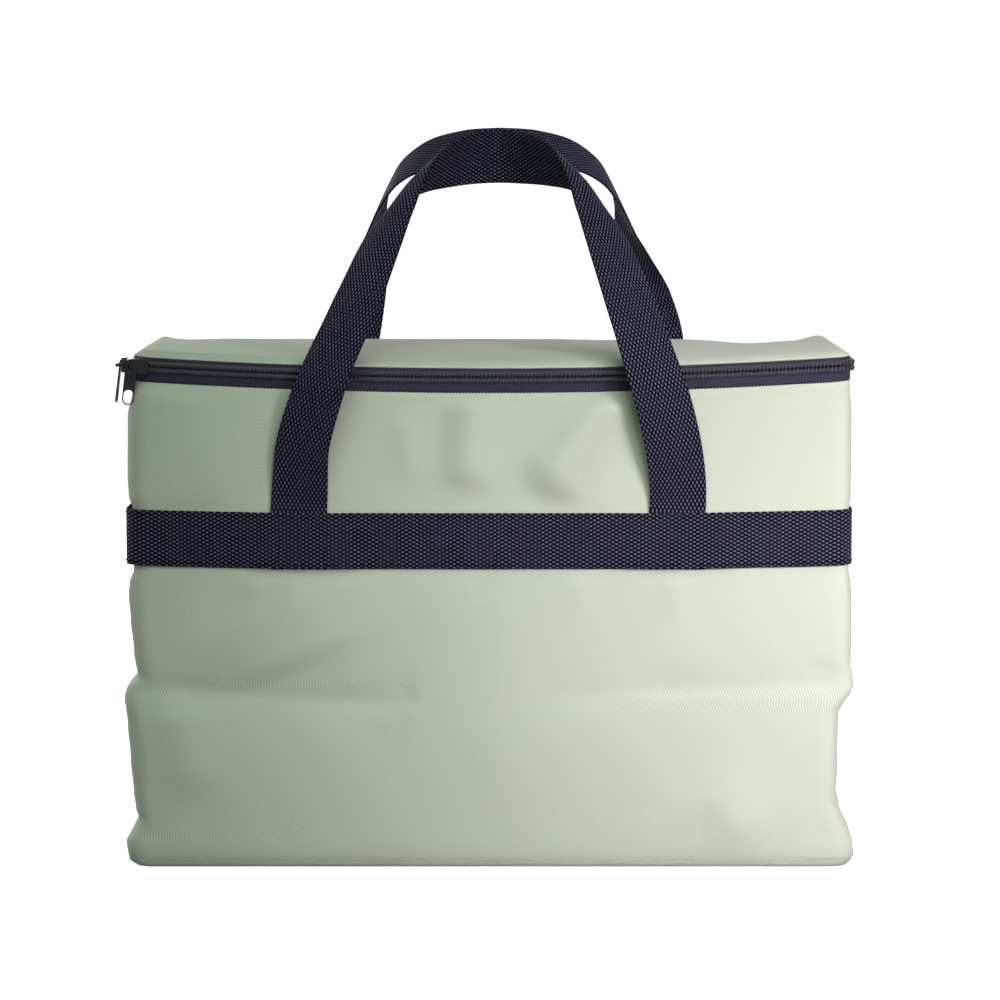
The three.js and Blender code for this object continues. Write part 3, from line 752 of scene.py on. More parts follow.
@dataclass(frozen=True)
class WovenFinish(Finish):
    """Woven strip of dark yarn: glossy raised floats with a painted highlight, and deep matt dips
    between them with painted shade.

    Attributes:
        pitch, length: width of a column of floats and length of a float with its dip.
        relief: height of the floats in the bump.
        lift, dip: how bright a float and a dip are against the colour: the painted highlight on the
            floats and the painted shade in the dips.
        worn, wear: how bright the yarn is where it is worn, and how much of that shows.
        fuzz: height of the fibre against the floats.
        swing, dip_rough: how far the roughness swings, and how much rougher a dip is.
        sheen, shine: strength of the sheen and of the gloss.
    """

    pitch: float = 1.054 * MM
    length: float = 3.9 * MM
    relief: float = 0.3 * MM
    lift: float = 7.5
    dip: float = 0.02
    worn: float = 0.9
    wear: float = 0.25
    fuzz: float = 0.12
    swing: float = 0.12
    dip_rough: float = 0.5
    sheen: float = 0.0
    shine: float = 0.06

    def material(self) -> bpy.types.Material:
        """Builds the material; the pattern lies on the cloth."""
        material, nodes, shader = self.start(
            Sheen_Weight=self.sheen, Sheen_Roughness=0.35, Specular_IOR_Level=self.shine
        )
        sizes = {"Pitch": self.pitch, "Length": self.length}
        weave = use_group(nodes, "weave_group", Place=nodes.cloth(), **sizes)
        fine = self.grain(nodes, fine=1400)["Fine"]
        # Floats painted bright as a highlight, dips painted dark as shade.
        colour = nodes.mix(weave["Dip"], self.shade(self.lift), self.shade(self.dip))
        wear = nodes.math("MULTIPLY", fine, self.wear)
        nodes.feed(shader.inputs["Base Color"], nodes.mix(wear, colour, self.shade(self.worn)))
        height = nodes.math("MULTIPLY_ADD", fine, self.fuzz, weave["Float"])
        self.bump(nodes, shader, height, self.relief, 1.0)
        yarn = self.uneven(nodes, fine, self.swing)
        rough = nodes.math("MULTIPLY_ADD", weave["Dip"], self.dip_rough, yarn)
        nodes.feed(shader.inputs["Roughness"], rough)
        return material


@dataclass(frozen=True)
class PolishedFinish(Finish):
    """Smooth hard finish, such as black paint or nylon, with faint handling marks.

    Attributes:
        coat, shine: strength of the clear coat and of the gloss.
        marks, mark_depth: how far the marks change the roughness, and their depth.
        dark, light: how bright it is at its darkest and lightest against the colour.
    """

    coat: float = 0.0
    shine: float = 0.5
    marks: float = 0.1
    mark_depth: float = 0.01 * MM
    dark: float = 0.8
    light: float = 1.25

    def material(self) -> bpy.types.Material:
        """Builds the material on the object's own coordinates."""
        material, nodes, shader = self.start(
            Coat_Weight=self.coat, Coat_Roughness=0.12, Specular_IOR_Level=self.shine
        )
        grain = self.grain(nodes, 120, 1600)
        nodes.feed(shader.inputs["Roughness"], self.uneven(nodes, grain["Broad"], self.marks))
        colour = nodes.mix(grain["Fine"], self.shade(self.dark), self.shade(self.light))
        nodes.feed(shader.inputs["Base Color"], colour)
        self.bump(nodes, shader, grain["Fine"], self.mark_depth, 0.3)
        return material


@dataclass(frozen=True)
class FoamFinish(Finish):
    """Closed-cell foam: pale, matt and finely pitted, with painted shade in the pits.

    Attributes:
        cell: scale of the cells.
        pit_depth, pit_shade: depth of the pits, and how bright the painted shade in them is against
            the colour.
    """

    cell: float = 700
    pit_depth: float = 0.15 * MM
    pit_shade: float = 0.93

    def material(self) -> bpy.types.Material:
        """Builds the material on the object's own coordinates."""
        material, nodes, shader = self.start()
        cells = nodes.add("ShaderNodeTexVoronoi", {"Vector": nodes.spot(), "Scale": self.cell})
        pits = nodes.math("MINIMUM", cells.outputs["Distance"], 1.0)
        # Painted shade in the pits.
        colour = nodes.mix(pits, self.shade(self.pit_shade), self.colour)
        nodes.feed(shader.inputs["Base Color"], colour)
        self.bump(nodes, shader, pits, self.pit_depth, 0.4)
        return material


@dataclass(frozen=True)
class FilmFinish(Finish):
    """Silver-grey welded film with soft creases.

    Attributes:
        metal: how metallic it is.
        crease_scale, crease_depth: scale and depth of the creases.
        dark, light: how bright it is at its darkest and lightest against the colour.
        swing: how far the roughness swings.
    """

    metal: float = 0.55
    crease_scale: float = 34
    crease_depth: float = 1.6 * MM
    dark: float = 0.85
    light: float = 1.1
    swing: float = 0.15

    def material(self) -> bpy.types.Material:
        """Builds the material on the object's own coordinates."""
        material, nodes, shader = self.start(Metallic=self.metal)
        creases = {"Vector": nodes.spot(), "Scale": self.crease_scale, "Distortion": 1.4}
        broad = nodes.add("ShaderNodeTexNoise", creases).outputs[0]
        grain = self.grain(nodes, 9, 1100)
        height = nodes.math("MULTIPLY_ADD", grain["Fine"], 0.03, broad)
        self.bump(nodes, shader, height, self.crease_depth, 0.6)
        colour = nodes.mix(grain["Broad"], self.shade(self.dark), self.shade(self.light))
        nodes.feed(shader.inputs["Base Color"], colour)
        nodes.feed(shader.inputs["Roughness"], self.uneven(nodes, grain["Fine"], self.swing))
        return material


class Finishes:
    """The bag's materials, built once."""

    def __init__(self) -> None:
        """Builds each material."""
        fine = {"pitch": 0.5 * MM, "length": 1.7 * MM, "relief": 0.08 * MM}
        self.shell = TwillFinish("sage_twill", (0.49, 0.57, 0.45, 1), 0.72).material()
        # The woven finishes paint a highlight on their floats and shade in their dips.
        self.webbing = WovenFinish("navy_webbing", (0.0165, 0.0165, 0.028, 1), 0.45).material()
        self.tape = WovenFinish(
            "navy_tape", (0.017, 0.017, 0.026, 1), 0.45, **fine, dip=0.3, sheen=0.1
        ).material()
        self.binding = WovenFinish(
            "grey_binding", (0.07, 0.07, 0.085, 1), 0.55, **fine, dip=0.5
        ).material()
        self.coil = PolishedFinish(
            "black_nylon", (0.042, 0.042, 0.056, 1), 0.3, shine=0.2
        ).material()
        # A far darker black for the coil's core, which shows between the teeth: painted shade in
        # the gaps.
        self.cord = PolishedFinish(
            "black_cord", (0.003, 0.003, 0.006, 1), 0.7, marks=0.2, shine=0.05
        ).material()
        self.metal = PolishedFinish(
            "black_paint", (0.006, 0.006, 0.014, 1), 0.2, coat=0.12, marks=0.12, shine=0.15
        ).material()
        self.foam = FoamFinish("white_foam", (0.86, 0.86, 0.83, 1), 0.85).material()
        self.liner = FilmFinish("silver_film", (0.58, 0.6, 0.62, 1), 0.345).material()


# The body


@dataclass
class Tub:
    """One layer of the body: walls and a floor, closed all round.

    Attributes:
        outline: the body's outline.
        outer, inner: insets of its outer and inner face.
        floor: heights of the floor's underside and top.
        drop: how far its upper edge lies below the rim.
        spacing: size of its faces.
        edge, inner_edge: radius of the round edge under the outer and the inner face.
    """

    outline: BagOutline
    outer: float
    inner: float
    floor: tuple[float, float]
    drop: float
    spacing: float
    edge: float = 2.5
    inner_edge: float = 1.0

    def top(self, columns: Columns) -> np.ndarray:
        """Height of the upper edge at each column."""
        return self.outline.along_rim(columns, self.outer, -self.drop)[:, 2]

    def side_rows(self, columns: Columns, inset: float, bottom: float) -> list[np.ndarray]:
        """Rows of one face of the walls, from just over the floor to the top."""
        count = round((self.outline.rim_height - bottom) / self.spacing)
        share = np.linspace(0, 1, count + 1)[:, None]
        heights = bottom + share * (self.top(columns)[None] - bottom)
        return list(self.outline.wall(columns, inset, heights))

    def floor_rows(self, columns: Columns, inset: float, z: float, edge: float) -> list[np.ndarray]:
        """Rows of one face of the floor, from its middle out and round its edge."""
        insets = [self.outline.half_depth * share for share in (0.97, 0.8, 0.6, 0.4, 0.2)]
        rows = [self.outline.ring(columns, each, z) for each in (*insets, inset + edge)]
        for angle in np.linspace(0, math.pi / 2, 4)[1:-1]:
            drawn_in = inset + edge * (1 - math.sin(angle))
            rows.append(self.outline.ring(columns, drawn_in, z + edge * (1 - math.cos(angle))))
        return rows

    def build(self, name: str) -> bpy.types.Object:
        """Closed mesh of the layer.

        Args:
            name: the piece's name.

        Returns:
            The new object.
        """
        columns = self.outline.columns(self.spacing)
        outer = self.floor_rows(columns, self.outer, self.floor[0], self.edge)
        outer += self.side_rows(columns, self.outer, self.floor[0] + self.edge)
        inner = self.floor_rows(columns, self.inner, self.floor[1], self.inner_edge)
        inner += self.side_rows(columns, self.inner, self.floor[1] + self.inner_edge)
        points = np.array(outer + inner[::-1])
        return Grid(points, self.cloth(columns, points)).build(name)

    def cloth(self, columns: Columns, points: np.ndarray) -> np.ndarray:
        """Places on the cloth: round and up on the walls, as in plan on the floor."""
        closed = np.concatenate([points, points[:, :1]], 1)
        up = closed[..., 2]
        plan = np.repeat((np.ptp(up, axis=1) < 1e-6)[:, None], up.shape[1], 1)
        across = np.where(plan, closed[..., 0], columns.length[None])
        return np.stack([across, np.where(plan, closed[..., 1], up)], -1)


@dataclass
class BagBody:
    """The twill shell, the foam and liner inside it and the binding round its mouth.

    Attributes:
        outline, finishes: the body's outline and the materials.
        fabric, foam, liner: thickness of each layer.
        gap: gap between two layers.
        foam_ease: how much further the foam's walls stand off the fabric.
        tape_drop, lining_drop: how far the shell and the lining end below the rim.
    """

    outline: BagOutline
    finishes: Finishes
    fabric: float = 1.0
    foam: float = 5.0
    liner: float = 0.6
    gap: float = 0.3
    foam_ease: float = 0.4
    tape_drop: float = 8.3
    lining_drop: float = 1.8

    def build(self) -> None:
        """Builds the body's layers from the outside in."""
        self.shell()
        self.insulation()
        self.mouth_binding()

    def shell(self) -> None:
        """The sewn outer fabric, a loft that sags and folds."""
        floor = (0, self.fabric)
        tub = Tub(self.outline, 0, self.fabric, floor, self.tape_drop, spacing=2.75, edge=3.0)
        shell = tub.build("bag_shell")
        sides = ("front", "back", "left_side", "right_side", "bottom")
        panels = tuple(f"{side}_panel" for side in sides)
        dress(shell, Body.BAG, self.finishes.shell, panels)

    def insulation(self) -> None:
        """The foam tub and the welded liner."""
        inside = self.fabric + self.gap
        core = (inside, inside + self.foam)
        skin = (core[1] + self.gap, core[1] + self.gap + self.liner)
        outer = core[0] + self.foam_ease
        foam = Tub(self.outline, outer, core[1], core, self.lining_drop, spacing=4)
        sheets = tuple(f"foam_{side}" for side in ("front", "back", "left", "right", "bottom"))
        tub = dress(foam.build("foam_walls"), Body.BAG, self.finishes.foam, sheets)
        liner = Tub(self.outline, *skin, skin, self.lining_drop, spacing=4)
        dress(liner.build("liner_tub"), Body.BAG, self.finishes.liner, ("liner",))

    def mouth_binding(self) -> None:
        """Binding folded over the raw edges of foam and liner round the mouth."""
        columns = self.outline.columns(3)
        middle = self.fabric + (self.foam + self.liner + 3 * self.gap) / 2
        half, thick, low, high, under = 3.0, 0.4, -9.0, -0.35, -1.7
        inner = half - thick
        section = [(-half, low)]
        for angle in np.linspace(0, math.pi, 9):
            fallen = 0.35 * half * (1 - math.sin(angle))
            section.append((-half * math.cos(angle), high - fallen))
        section += [(half, low), (inner, low), (inner, under), (-inner, under), (-inner, low)]
        rows = [self.outline.along_rim(columns, middle + across, up) for across, up in section]
        reach = 2.0 * np.arange(len(section) + 1)
        cloth = np.stack(np.broadcast_arrays(reach[:, None], columns.length[None]), -1)
        piece = Grid(np.array(rows), cloth, wrap_rows=True).build("mouth_edge")
        dress(piece, Body.BAG, self.finishes.binding, ("mouth_binding",))


# The lid


# Folds of the lid: places are to the right of its middle and behind it.
LID_FOLDS = (
    Fold((136, -75), (146, 98), -2.3, 18, 22, 2, (0.4, 0)),
    Fold((20, 98), (196, 98), -1.5, 34, 34, 2, (0.5, 0)),
    Fold((-196, 98), (-140, 98), -3.4, 30, 30, 2, (0, 0.7)),
    Fold((-120, -40), (40, 10), 1.2, 30, 34, 2, (0.4, 0.4)),
    Fold((-10, -70), (60, 40), -1.1, 14, 12, 2, (0.4, 0.4)),
    Fold((70, -60), (110, 60), 0.9, 12, 12, 2, (0.4, 0.4)),
    Fold((-160, -60), (-120, 50), 0.9, 14, 16, 2, (0.4, 0.4)),
)


@dataclass
class Lid:
    """The lid: a padded twill panel, its foam, its lining and the fabric hinge along the back.

    Attributes:
        outline, finishes: the body's outline and the materials.
        edge_rise, edge_drop, edge_round: height of the top's edge over the rim, and how far down
            and how far in it is rounded.
        dome, back_drop: how far the middle stands up and the back edge lies lower.
        reach, side_reach: how far in the dome rises, and the slope to the back starts.
        fold_fade, hinge_grip: how far in the folds grow to full depth, and how much of that
            they are spared along the back.
        fabric, liner, gap: thickness of the fabric and of the lining, and the gap between layers.
        tape_top: height of the panel's lower edge along the zipper.
        bend: heights from the hinge line; not used.
    """

    outline: BagOutline
    finishes: Finishes
    edge_rise: float = 8.2
    edge_drop: float = 3.0
    edge_round: float = 7.0
    dome: float = 1.5
    back_drop: float = 4.0
    reach: float = 91.0
    side_reach: float = 20.0
    fold_fade: float = 16.0
    hinge_grip: float = 10.0
    fabric: float = 1.0
    liner: float = 0.6
    gap: float = 0.3
    tape_top: float = 4.8
    bend: tuple[float, float] = (-1.2, 0.5)

    def crown(self, inset: np.ndarray) -> np.ndarray:
        """Rise of the dome at an inset from the edge."""
        return self.dome * np.sin(np.minimum(1, inset / self.reach) * math.pi / 2)

    def back_share(self, points: np.ndarray) -> np.ndarray:
        """Share of the slope down to the back edge at some points: none along the zipper."""
        back = np.clip(points[:, 1] / self.outline.half_depth, 0, 1)
        inside = np.clip((self.outline.half_width - np.abs(points[:, 0])) / self.side_reach, 0, 1)
        return back * inside

    def top(self, inset: float, back: np.ndarray) -> np.ndarray:
        """Rise of the lid's top above the rim, at some shares of the slope down to the back."""
        short = max(0, 1 - inset / self.edge_round)
        rounded = self.edge_drop * (1 - back / 2) * short**2
        return self.edge_rise - self.back_drop * back - rounded + self.crown(inset)

    def rise(self, points: np.ndarray, inset: float, share: float) -> np.ndarray:
        """How far the lid's folds lift its points."""
        lift = sum(fold.offset(points[:, 0], points[:, 1]) for fold in LID_FOLDS)
        grip = self.hinge_grip * self.back_share(points)
        return share * lift * smooth((inset + grip) / self.fold_fade)

    def row(
        self, columns: Columns, inset: float, up: Rise, share: float, shrink: float = 1
    ) -> np.ndarray:
        """One row of the lid: a ring drawn in by an inset, standing over the rim.

        Args:
            columns: the columns.
            inset: how far in from the edge.
            up: rise above the rim, a function of the inset and of the slope's share.
            share: share of the folds that shows.
            shrink: scale towards the middle, for the rings that close the top.

        Returns:
            Columns by 3.
        """
        points = self.outline.ring(columns, inset, self.outline.rim_height)
        points[:, :2] *= shrink
        over = self.outline.rim(points[:, 0], points[:, 1]) + up(inset, self.back_share(points))
        points[:, 2] = over + self.rise(points, inset, share)
        return points

    def face(
        self, columns: Columns, insets: list[float], up: Rise, share: float
    ) -> list[np.ndarray]:
        """Rows of one face, from its edge to its middle."""
        rows = [self.row(columns, inset, up, share) for inset in insets]
        for shrink in (0.85, 0.7, 0.55, 0.4, 0.25, 0.1):
            rows.append(self.row(columns, insets[-1], up, share, shrink))
        return rows

    def insets(self, first: float, step: float) -> list[float]:
        """Insets from first to the middle, close together round the edge."""
        edge = [first + self.edge_round * share for share in (0, 0.12, 0.28, 0.5, 0.75, 1)]
        count = math.ceil((self.reach - edge[-1]) / step)
        return edge + list(np.linspace(edge[-1], self.reach, count + 1)[1:])

    def sheet_edge(self, columns: Columns) -> np.ndarray:
        """Rise of the panel's lower edge: over the zipper's tape, and down to the hinge behind."""
        nx, ny = columns.run[:, 2], columns.run[:, 3]
        return np.where(ny > np.abs(nx) + 1e-3, self.gap, self.tape_top)

    def layer(
        self, name: str, lower: list[np.ndarray], upper: list[np.ndarray],
        finish: bpy.types.Material, slot: Slot, node: str,
    ) -> bpy.types.Object:
        """One closed layer of the lid.

        Args:
            name: the piece's name.
            lower, upper: rows of its two faces, each from the edge to the middle.
            finish, slot: its material, and its slot, which is not used.
            node: the CAD node that it stands for.

        Returns:
            The new object.
        """
        points = np.array(lower[::-1] + upper)
        closed = np.concatenate([points, points[:, :1]], 1)
        piece = Grid(points, closed[..., :2].copy()).build(name)
        return dress(piece, Body.LID, finish, (node,))

    def build(self) -> None:
        """Builds the lid's layers from the top down, and its hinge."""
        self.panel()
        self.insulation()
        self.hinge()

    def panel(self) -> None:
        """The twill panel, turned down round the edge over the zipper's tape."""
        columns = self.outline.columns(3)
        low = self.sheet_edge(columns)
        inside = self.insets(self.fabric + self.gap, 6)
        lower = [self.row(columns, self.fabric, lambda *at: low, 0)]
        lower += self.face(columns, inside, lambda *at: self.top(*at) - self.fabric, 1)
        upper = [self.row(columns, 0, lambda *at: low, 0)]
        upper += [self.row(columns, 0, lambda *at: (low + self.top(*at)) / 2, 0)]
        upper += self.face(columns, self.insets(0, 3), self.top, 1)
        twill = self.finishes.shell
        panel = self.layer("lid_shell", lower, upper, twill, Slot.SHELL, "lid_panel")

    def insulation(self) -> None:
        """The foam under the panel and the lining under the foam."""
        columns = self.outline.columns(6)
        inside = self.insets(self.fabric + self.gap, 7)

        def over_dome(up: float) -> list[np.ndarray]:
            """Rows of a face that follows the dome, where the folds show less."""
            return self.face(columns, inside, lambda inset, back: self.crown(inset) + up, 0.6)

        lining = self.gap + self.liner
        low, high = over_dome(self.gap), over_dome(lining)
        cover = self.fabric + self.gap
        top = self.face(columns, inside, lambda *at: self.top(*at) - cover, 1)
        foam_low = over_dome(lining + self.gap)
        foam = self.layer("lid_foam", foam_low, top, self.finishes.foam, Slot.FOAM, "foam_lid")
        self.layer("lid_lining", low, high, self.finishes.liner, Slot.LINER, "liner_lid")

    def hinge(self) -> None:
        """Strip of fabric sewn to the back panel and to the lid."""
        low, high = (np.array(corner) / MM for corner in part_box("hinge_strip"))
        pivot, half = self.outline.rim_height, min(-low[0], high[0])
        dense, deepest = 3.0, 2.6
        plain = np.arange(low[2], pivot - dense, 2.0)
        heights = np.concatenate([plain, np.arange(pivot - dense, pivot + dense + 0.3, 0.4)])
        across = np.linspace(-half, half, 2 * round(half / 3) + 1)
        edge = np.stack([across, np.full_like(across, self.outline.half_depth)], -1)
        kept = 1 + np.clip(self.rise(edge, 0, 1), -deepest, 0) / (heights[-1] - pivot)
        over = heights[:, None] - pivot
        level = pivot + np.where(over > 0, over * kept, over)
        inner, outer = low[1], high[1]
        x = np.broadcast_to(across, level.shape)
        front, back = (np.stack([x, np.full_like(x, y), level], -1) for y in (inner, outer))
        points = np.concatenate([front, back[::-1]])
        reach = np.concatenate([heights, heights[::-1], heights[:1]])
        cloth = np.stack(np.broadcast_arrays(across[None], reach[:, None]), -1)
        piece = Grid(points, cloth, wrap_rows=True).build("hinge_fabric")
        close_ends(piece)
        piece.data.materials.append(self.finishes.shell)
        note(piece, ("hinge_strip",))
        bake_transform(piece)


def close_ends(piece: bpy.types.Object) -> None:
    """Fills the open ends of a strip and turns its faces outward."""
    made = bmesh.new()
    made.from_mesh(piece.data)
    bmesh.ops.holes_fill(made, edges=[edge for edge in made.edges if edge.is_boundary], sides=0)
    bmesh.ops.recalc_face_normals(made, faces=made.faces)
    made.to_mesh(piece.data)
    made.free()


# Things that repeat along a line


class Repeater:
    """Geometry Nodes tree that repeats a small piece along a line, facing along it."""

    def __init__(self) -> None:
        """Builds the tree and its named inputs."""
        self.tree = bpy.data.node_groups.new("Repeat along a line", "GeometryNodeTree")
        face = self.tree.interface
        face.new_socket("Line", in_out="INPUT", socket_type="NodeSocketGeometry")
        for name, kind in (("Pitch", "Float"), ("Piece", "Object"), ("Finish", "Material")):
            face.new_socket(name, in_out="INPUT", socket_type=f"NodeSocket{kind}")
        face.new_socket("Result", in_out="OUTPUT", socket_type="NodeSocketGeometry")
        nodes = Nodes(self.tree)
        taken = {socket.name: socket for socket in nodes.add("NodeGroupInput").outputs}
        curve = nodes.add("GeometryNodeMeshToCurve", {0: taken["Line"]}).outputs[0]
        steps = nodes.add("GeometryNodeResampleCurve", {"Curve": curve}, mode="LENGTH")
        nodes.feed(steps.inputs["Length"], taken["Pitch"])
        tangent = nodes.add("GeometryNodeInputTangent").outputs[0]
        turned = nodes.add(
            "FunctionNodeAlignRotationToVector", {"Vector": tangent}, axis="X", pivot_axis="Z"
        )
        piece = nodes.add("GeometryNodeObjectInfo", {"Object": taken["Piece"]})
        copies = nodes.add("GeometryNodeInstanceOnPoints", {"Points": steps.outputs[0]})
        nodes.feed(copies.inputs["Instance"], piece.outputs["Geometry"])
        nodes.feed(copies.inputs["Rotation"], turned.outputs[0])
        real = nodes.add("GeometryNodeRealizeInstances", {0: copies.outputs[0]})
        paint = {0: real.outputs[0], "Material": taken["Finish"]}
        painted = nodes.add("GeometryNodeSetMaterial", paint)
        nodes.add("NodeGroupOutput", {0: painted.outputs[0]})

    def repeat(
        self, name: str, line: np.ndarray, pitch: float,
        piece: bpy.types.Object, finish: bpy.types.Material,
    ) -> bpy.types.Object:
        """Repeats a piece along a line of points.

        Args:
            name: the new piece's name.
            line: points by 3, in millimetres.
            pitch: distance between copies, in millimetres.
            piece: what is repeated, its length along X.
            finish: the material of the copies.

        Returns:
            A plain mesh object.
        """
        mesh = bpy.data.meshes.new(name + "_line")
        edges = [(k, k + 1) for k in range(len(line) - 1)]
        mesh.from_pydata((line * MM).tolist(), edges, [])
        carrier = link(bpy.data.objects.new(name + "_line", mesh))
        modifier = carrier.modifiers.new("Repeat", "NODES")
        modifier.node_group = self.tree
        sockets = self.tree.interface.items_tree
        named = {item.name: item.identifier for item in sockets if item.in_out == "INPUT"}
        for key, value in (("Pitch", pitch * MM), ("Piece", piece), ("Finish", finish)):
            modifier[named[key]] = value
        bpy.context.view_layer.update()
        graph = bpy.context.evaluated_depsgraph_get()
        made = bpy.data.meshes.new_from_object(carrier.evaluated_get(graph))
        bpy.data.objects.remove(carrier)
        made.name = name
        made.shade_smooth()
        return link(bpy.data.objects.new(name, made))


def bent_rod(name: str, path: list[Point], radius: float, sides: int) -> bpy.types.Object:
    """Short rod along a path in millimetres, closed at its ends, for repeating.

    Args:
        name: the object's name.
        path: its centre line.
        radius: its radius.
        sides: how many sides it has.

    Returns:
        The object, which isn't shown itself.
    """
    points = np.array(path, float)
    angles = 2 * math.pi * np.arange(sides)[:, None] / sides
    rings = []
    for at, along in zip(points, unit(np.gradient(points, axis=0))):
        first = unit(np.cross(along, (0.31, 0.17, 0.93) if abs(along[2]) < 0.9 else (1, 0, 0)))
        second = np.cross(along, first)
        rings.append(at + radius * (np.cos(angles) * first + np.sin(angles) * second))
    return Grid(np.array(rings), np.zeros((len(points), sides + 1, 2))).build(name)


def joined(name: str, pieces: list[bpy.types.Object], finishes: int = 1) -> bpy.types.Object:
    """Joins some objects' meshes into one object and removes them.

    Args:
        name: the new object's name.
        pieces: the objects.
        finishes: how many material slots the pieces take in turn.

    Returns:
        The new object.
    """
    made = bmesh.new()
    for count, piece in enumerate(pieces):
        before = len(made.faces)
        made.from_mesh(piece.data)
        for face in list(made.faces)[before:]:
            face.material_index = min(count, finishes - 1)
        bpy.data.objects.remove(piece)
    mesh = bpy.data.meshes.new(name)
    made.to_mesh(mesh)
    made.free()
    mesh.shade_smooth()
    return link(bpy.data.objects.new(name, mesh))


# The zipper


@dataclass
class Zipper:
    """Woven tapes and coil chain round three sides of the mouth.

    Attributes:
        outline, finishes, repeater: the body's outline, the materials and what repeats the teeth.
        tape: thickness of the tapes.
        tape_drop, lid_tape_rise: how far the lower tape reaches down and the upper one up.
        half_gap: half of the gap between the tapes.
        pitch, strand: distance between two teeth, and radius of the coil's strand.
        coil_height, slant: height of a coil, and how much its turns lean.
        proud: how far the coil stands off the outline.
    """

    outline: BagOutline
    finishes: Finishes
    repeater: Repeater
    tape: float = 1.0
    tape_drop: float = 7.9
    lid_tape_rise: float = 4.5
    half_gap: float = 0.15
    pitch: float = 2.0
    strand: float = 0.36
    coil_height: float = 3.0
    slant: float = 0.6
    proud: float = 0.3

    def part(self, spacing: float) -> Columns:
        """Columns from the middle of one back corner round the front to that of the other."""
        columns = self.outline.columns(spacing)
        turned = columns.run[:, 3] < np.abs(columns.run[:, 2]) + 1e-6
        shown = np.flatnonzero(turned)
        return columns.part(shown[0], shown[-1])

    def strip(self, name: str, section: list[tuple[float, float]]) -> bpy.types.Object:
        """Strip along the rim.

        Args:
            name: the piece's name.
            section: its closed section, each point an inset and a rise above the rim.

        Returns:
            The new object.
        """
        columns = self.part(3)
        rows = [self.outline.along_rim(columns, inset, up) for inset, up in section]
        reach = distances(np.array(section + section[:1]))
        cloth = np.stack(np.broadcast_arrays(reach[:, None], columns.length[None]), -1)
        piece = Grid(np.array(rows), cloth, wrap_rows=True).build(name)
        close_ends(piece)
        return piece

    def line(self, lead: float) -> np.ndarray:
        """Points along the rim, standing proud of the tape, from a distance along it."""
        rim = self.outline.along_rim(self.part(1.0), -self.proud, 0)
        along = distances(rim)
        return resampled(rim, along, np.arange(lead, along[-1] - 0.5, 0.5))

    def tooth(self, upward: int) -> bpy.types.Object:
        """One turn of the coil, seen from its length along X: out of the tape, over and back.

        Args:
            upward: 1 for the lid's coil, whose turns hang to the middle, and -1 for the body's.

        Returns:
            The tooth, its origin on the rim.
        """
        height, strand = self.coil_height - self.strand, self.strand
        path = [
            (-0.55, -0.35, height - 0.1), (-0.5, -1.35, height), (-0.32, -1.84, height * 0.76),
            (-0.02, -1.86, height * 0.46), (0.26, -1.55, strand * 1.1), (0.46, -1.1, strand * 0.4),
            (0.62, -0.7, strand * 0.5), (0.75, -0.45, height * 0.5),
        ]
        turned = [(self.slant * x, y, upward * z) for x, y, z in path]
        return bent_rod("tooth", turned, strand, 7)

    def build(self) -> None:
        """Builds both tapes and both coils with their teeth."""
        half, tape, low, top = self.half_gap, self.tape, -self.tape_drop, self.lid_tape_rise
        lower = [(0.0, -half), (-0.12, -0.6), (-0.12, low + 0.6), (0.1, low)]
        lower += [(tape, low), (tape, -half)]
        upper = [(0.0, half), (0.0, top - 0.2), (0.3, top), (tape, top), (tape, half)]
        self.woven("zipper_tape_lower", lower, Body.BAG, "zipper_tape_body")
        self.woven("zipper_tape_upper", upper, Body.LID, "zipper_tape_lid")
        self.coil(Body.BAG, "body", upward=-1, lead=1.0)
        self.coil(Body.LID, "lid", upward=1, lead=2.0)

    def woven(self, name: str, section: list[tuple[float, float]], body: Body, node: str) -> None:
        """Builds one tape."""
        dress(self.strip(name, section), body, self.finishes.tape, (node,))

    def coil(self, body: Body, word: str, upward: int, lead: float) -> None:
        """Builds one coil: its teeth and the cord through them, painted darker than the teeth as
        shade in the gaps between them.

        Args:
            body: the body that carries it.
            word: that body's word in the names.
            upward: 1 for the lid's coil and -1 for the body's.
            lead: how far along the rim its first tooth stands.
        """
        tooth = self.tooth(upward)
        line, finish = self.line(lead), self.finishes.coil
        teeth = self.repeater.repeat("teeth", line, self.pitch, tooth, finish)
        bpy.data.objects.remove(tooth)
        near, far = upward * 0.55, upward * (self.coil_height - 0.15)
        back, front = -self.proud, -0.95
        core = [(back, near), (front, near), (-1.2, (near + far) / 2), (front, far), (back, far)]
        coil = joined(f"zipper_chain_{word}", [teeth, self.strip("core", core)], 2)
        dress(coil, body, finish, (f"zipper_coil_{word}",))
        # The core takes the darker black: painted shade between the teeth.
        coil.data.materials.append(self.finishes.cord)


# Webbing


@dataclass(frozen=True)
class Weave:
    """Relief of the webbing: columns of floats, each set half a float off the next.

    Attributes:
        width: width of the webbing.
        thickness: its thickness over the floats.
        columns: how many columns of floats cross it.
        float_length: length of one float and the dip after it.
        depth: how deep the dips are.
    """

    width: float = 30.0
    thickness: float = 1.4
    columns: int = 28
    float_length: float = 3.9
    depth: float = 0.22

    def across(self) -> np.ndarray:
        """Places across one face, two for each column of floats."""
        return np.linspace(-0.5, 0.5, self.columns * 2 + 1) * (self.width - 0.5)

    def raised(self, across: np.ndarray, along: np.ndarray) -> np.ndarray:
        """Share of the full height at places across and along the webbing."""
        place = (across / (self.width - 0.5) + 0.5) * self.columns
        column = np.minimum(np.floor(place + 1e-6), self.columns - 1)
        ridge = np.sin(math.pi * np.clip(place - column, 0, 1)) ** 0.7
        lifted = 0.5 + 0.5 * np.cos(2 * math.pi * (along / self.float_length + 0.5 * (column % 2)))
        selvage = (column < 1) | (column > self.columns - 2)
        return ridge * np.where(selvage, 0.6 + 0.2 * lifted, 0.12 + 0.88 * lifted)


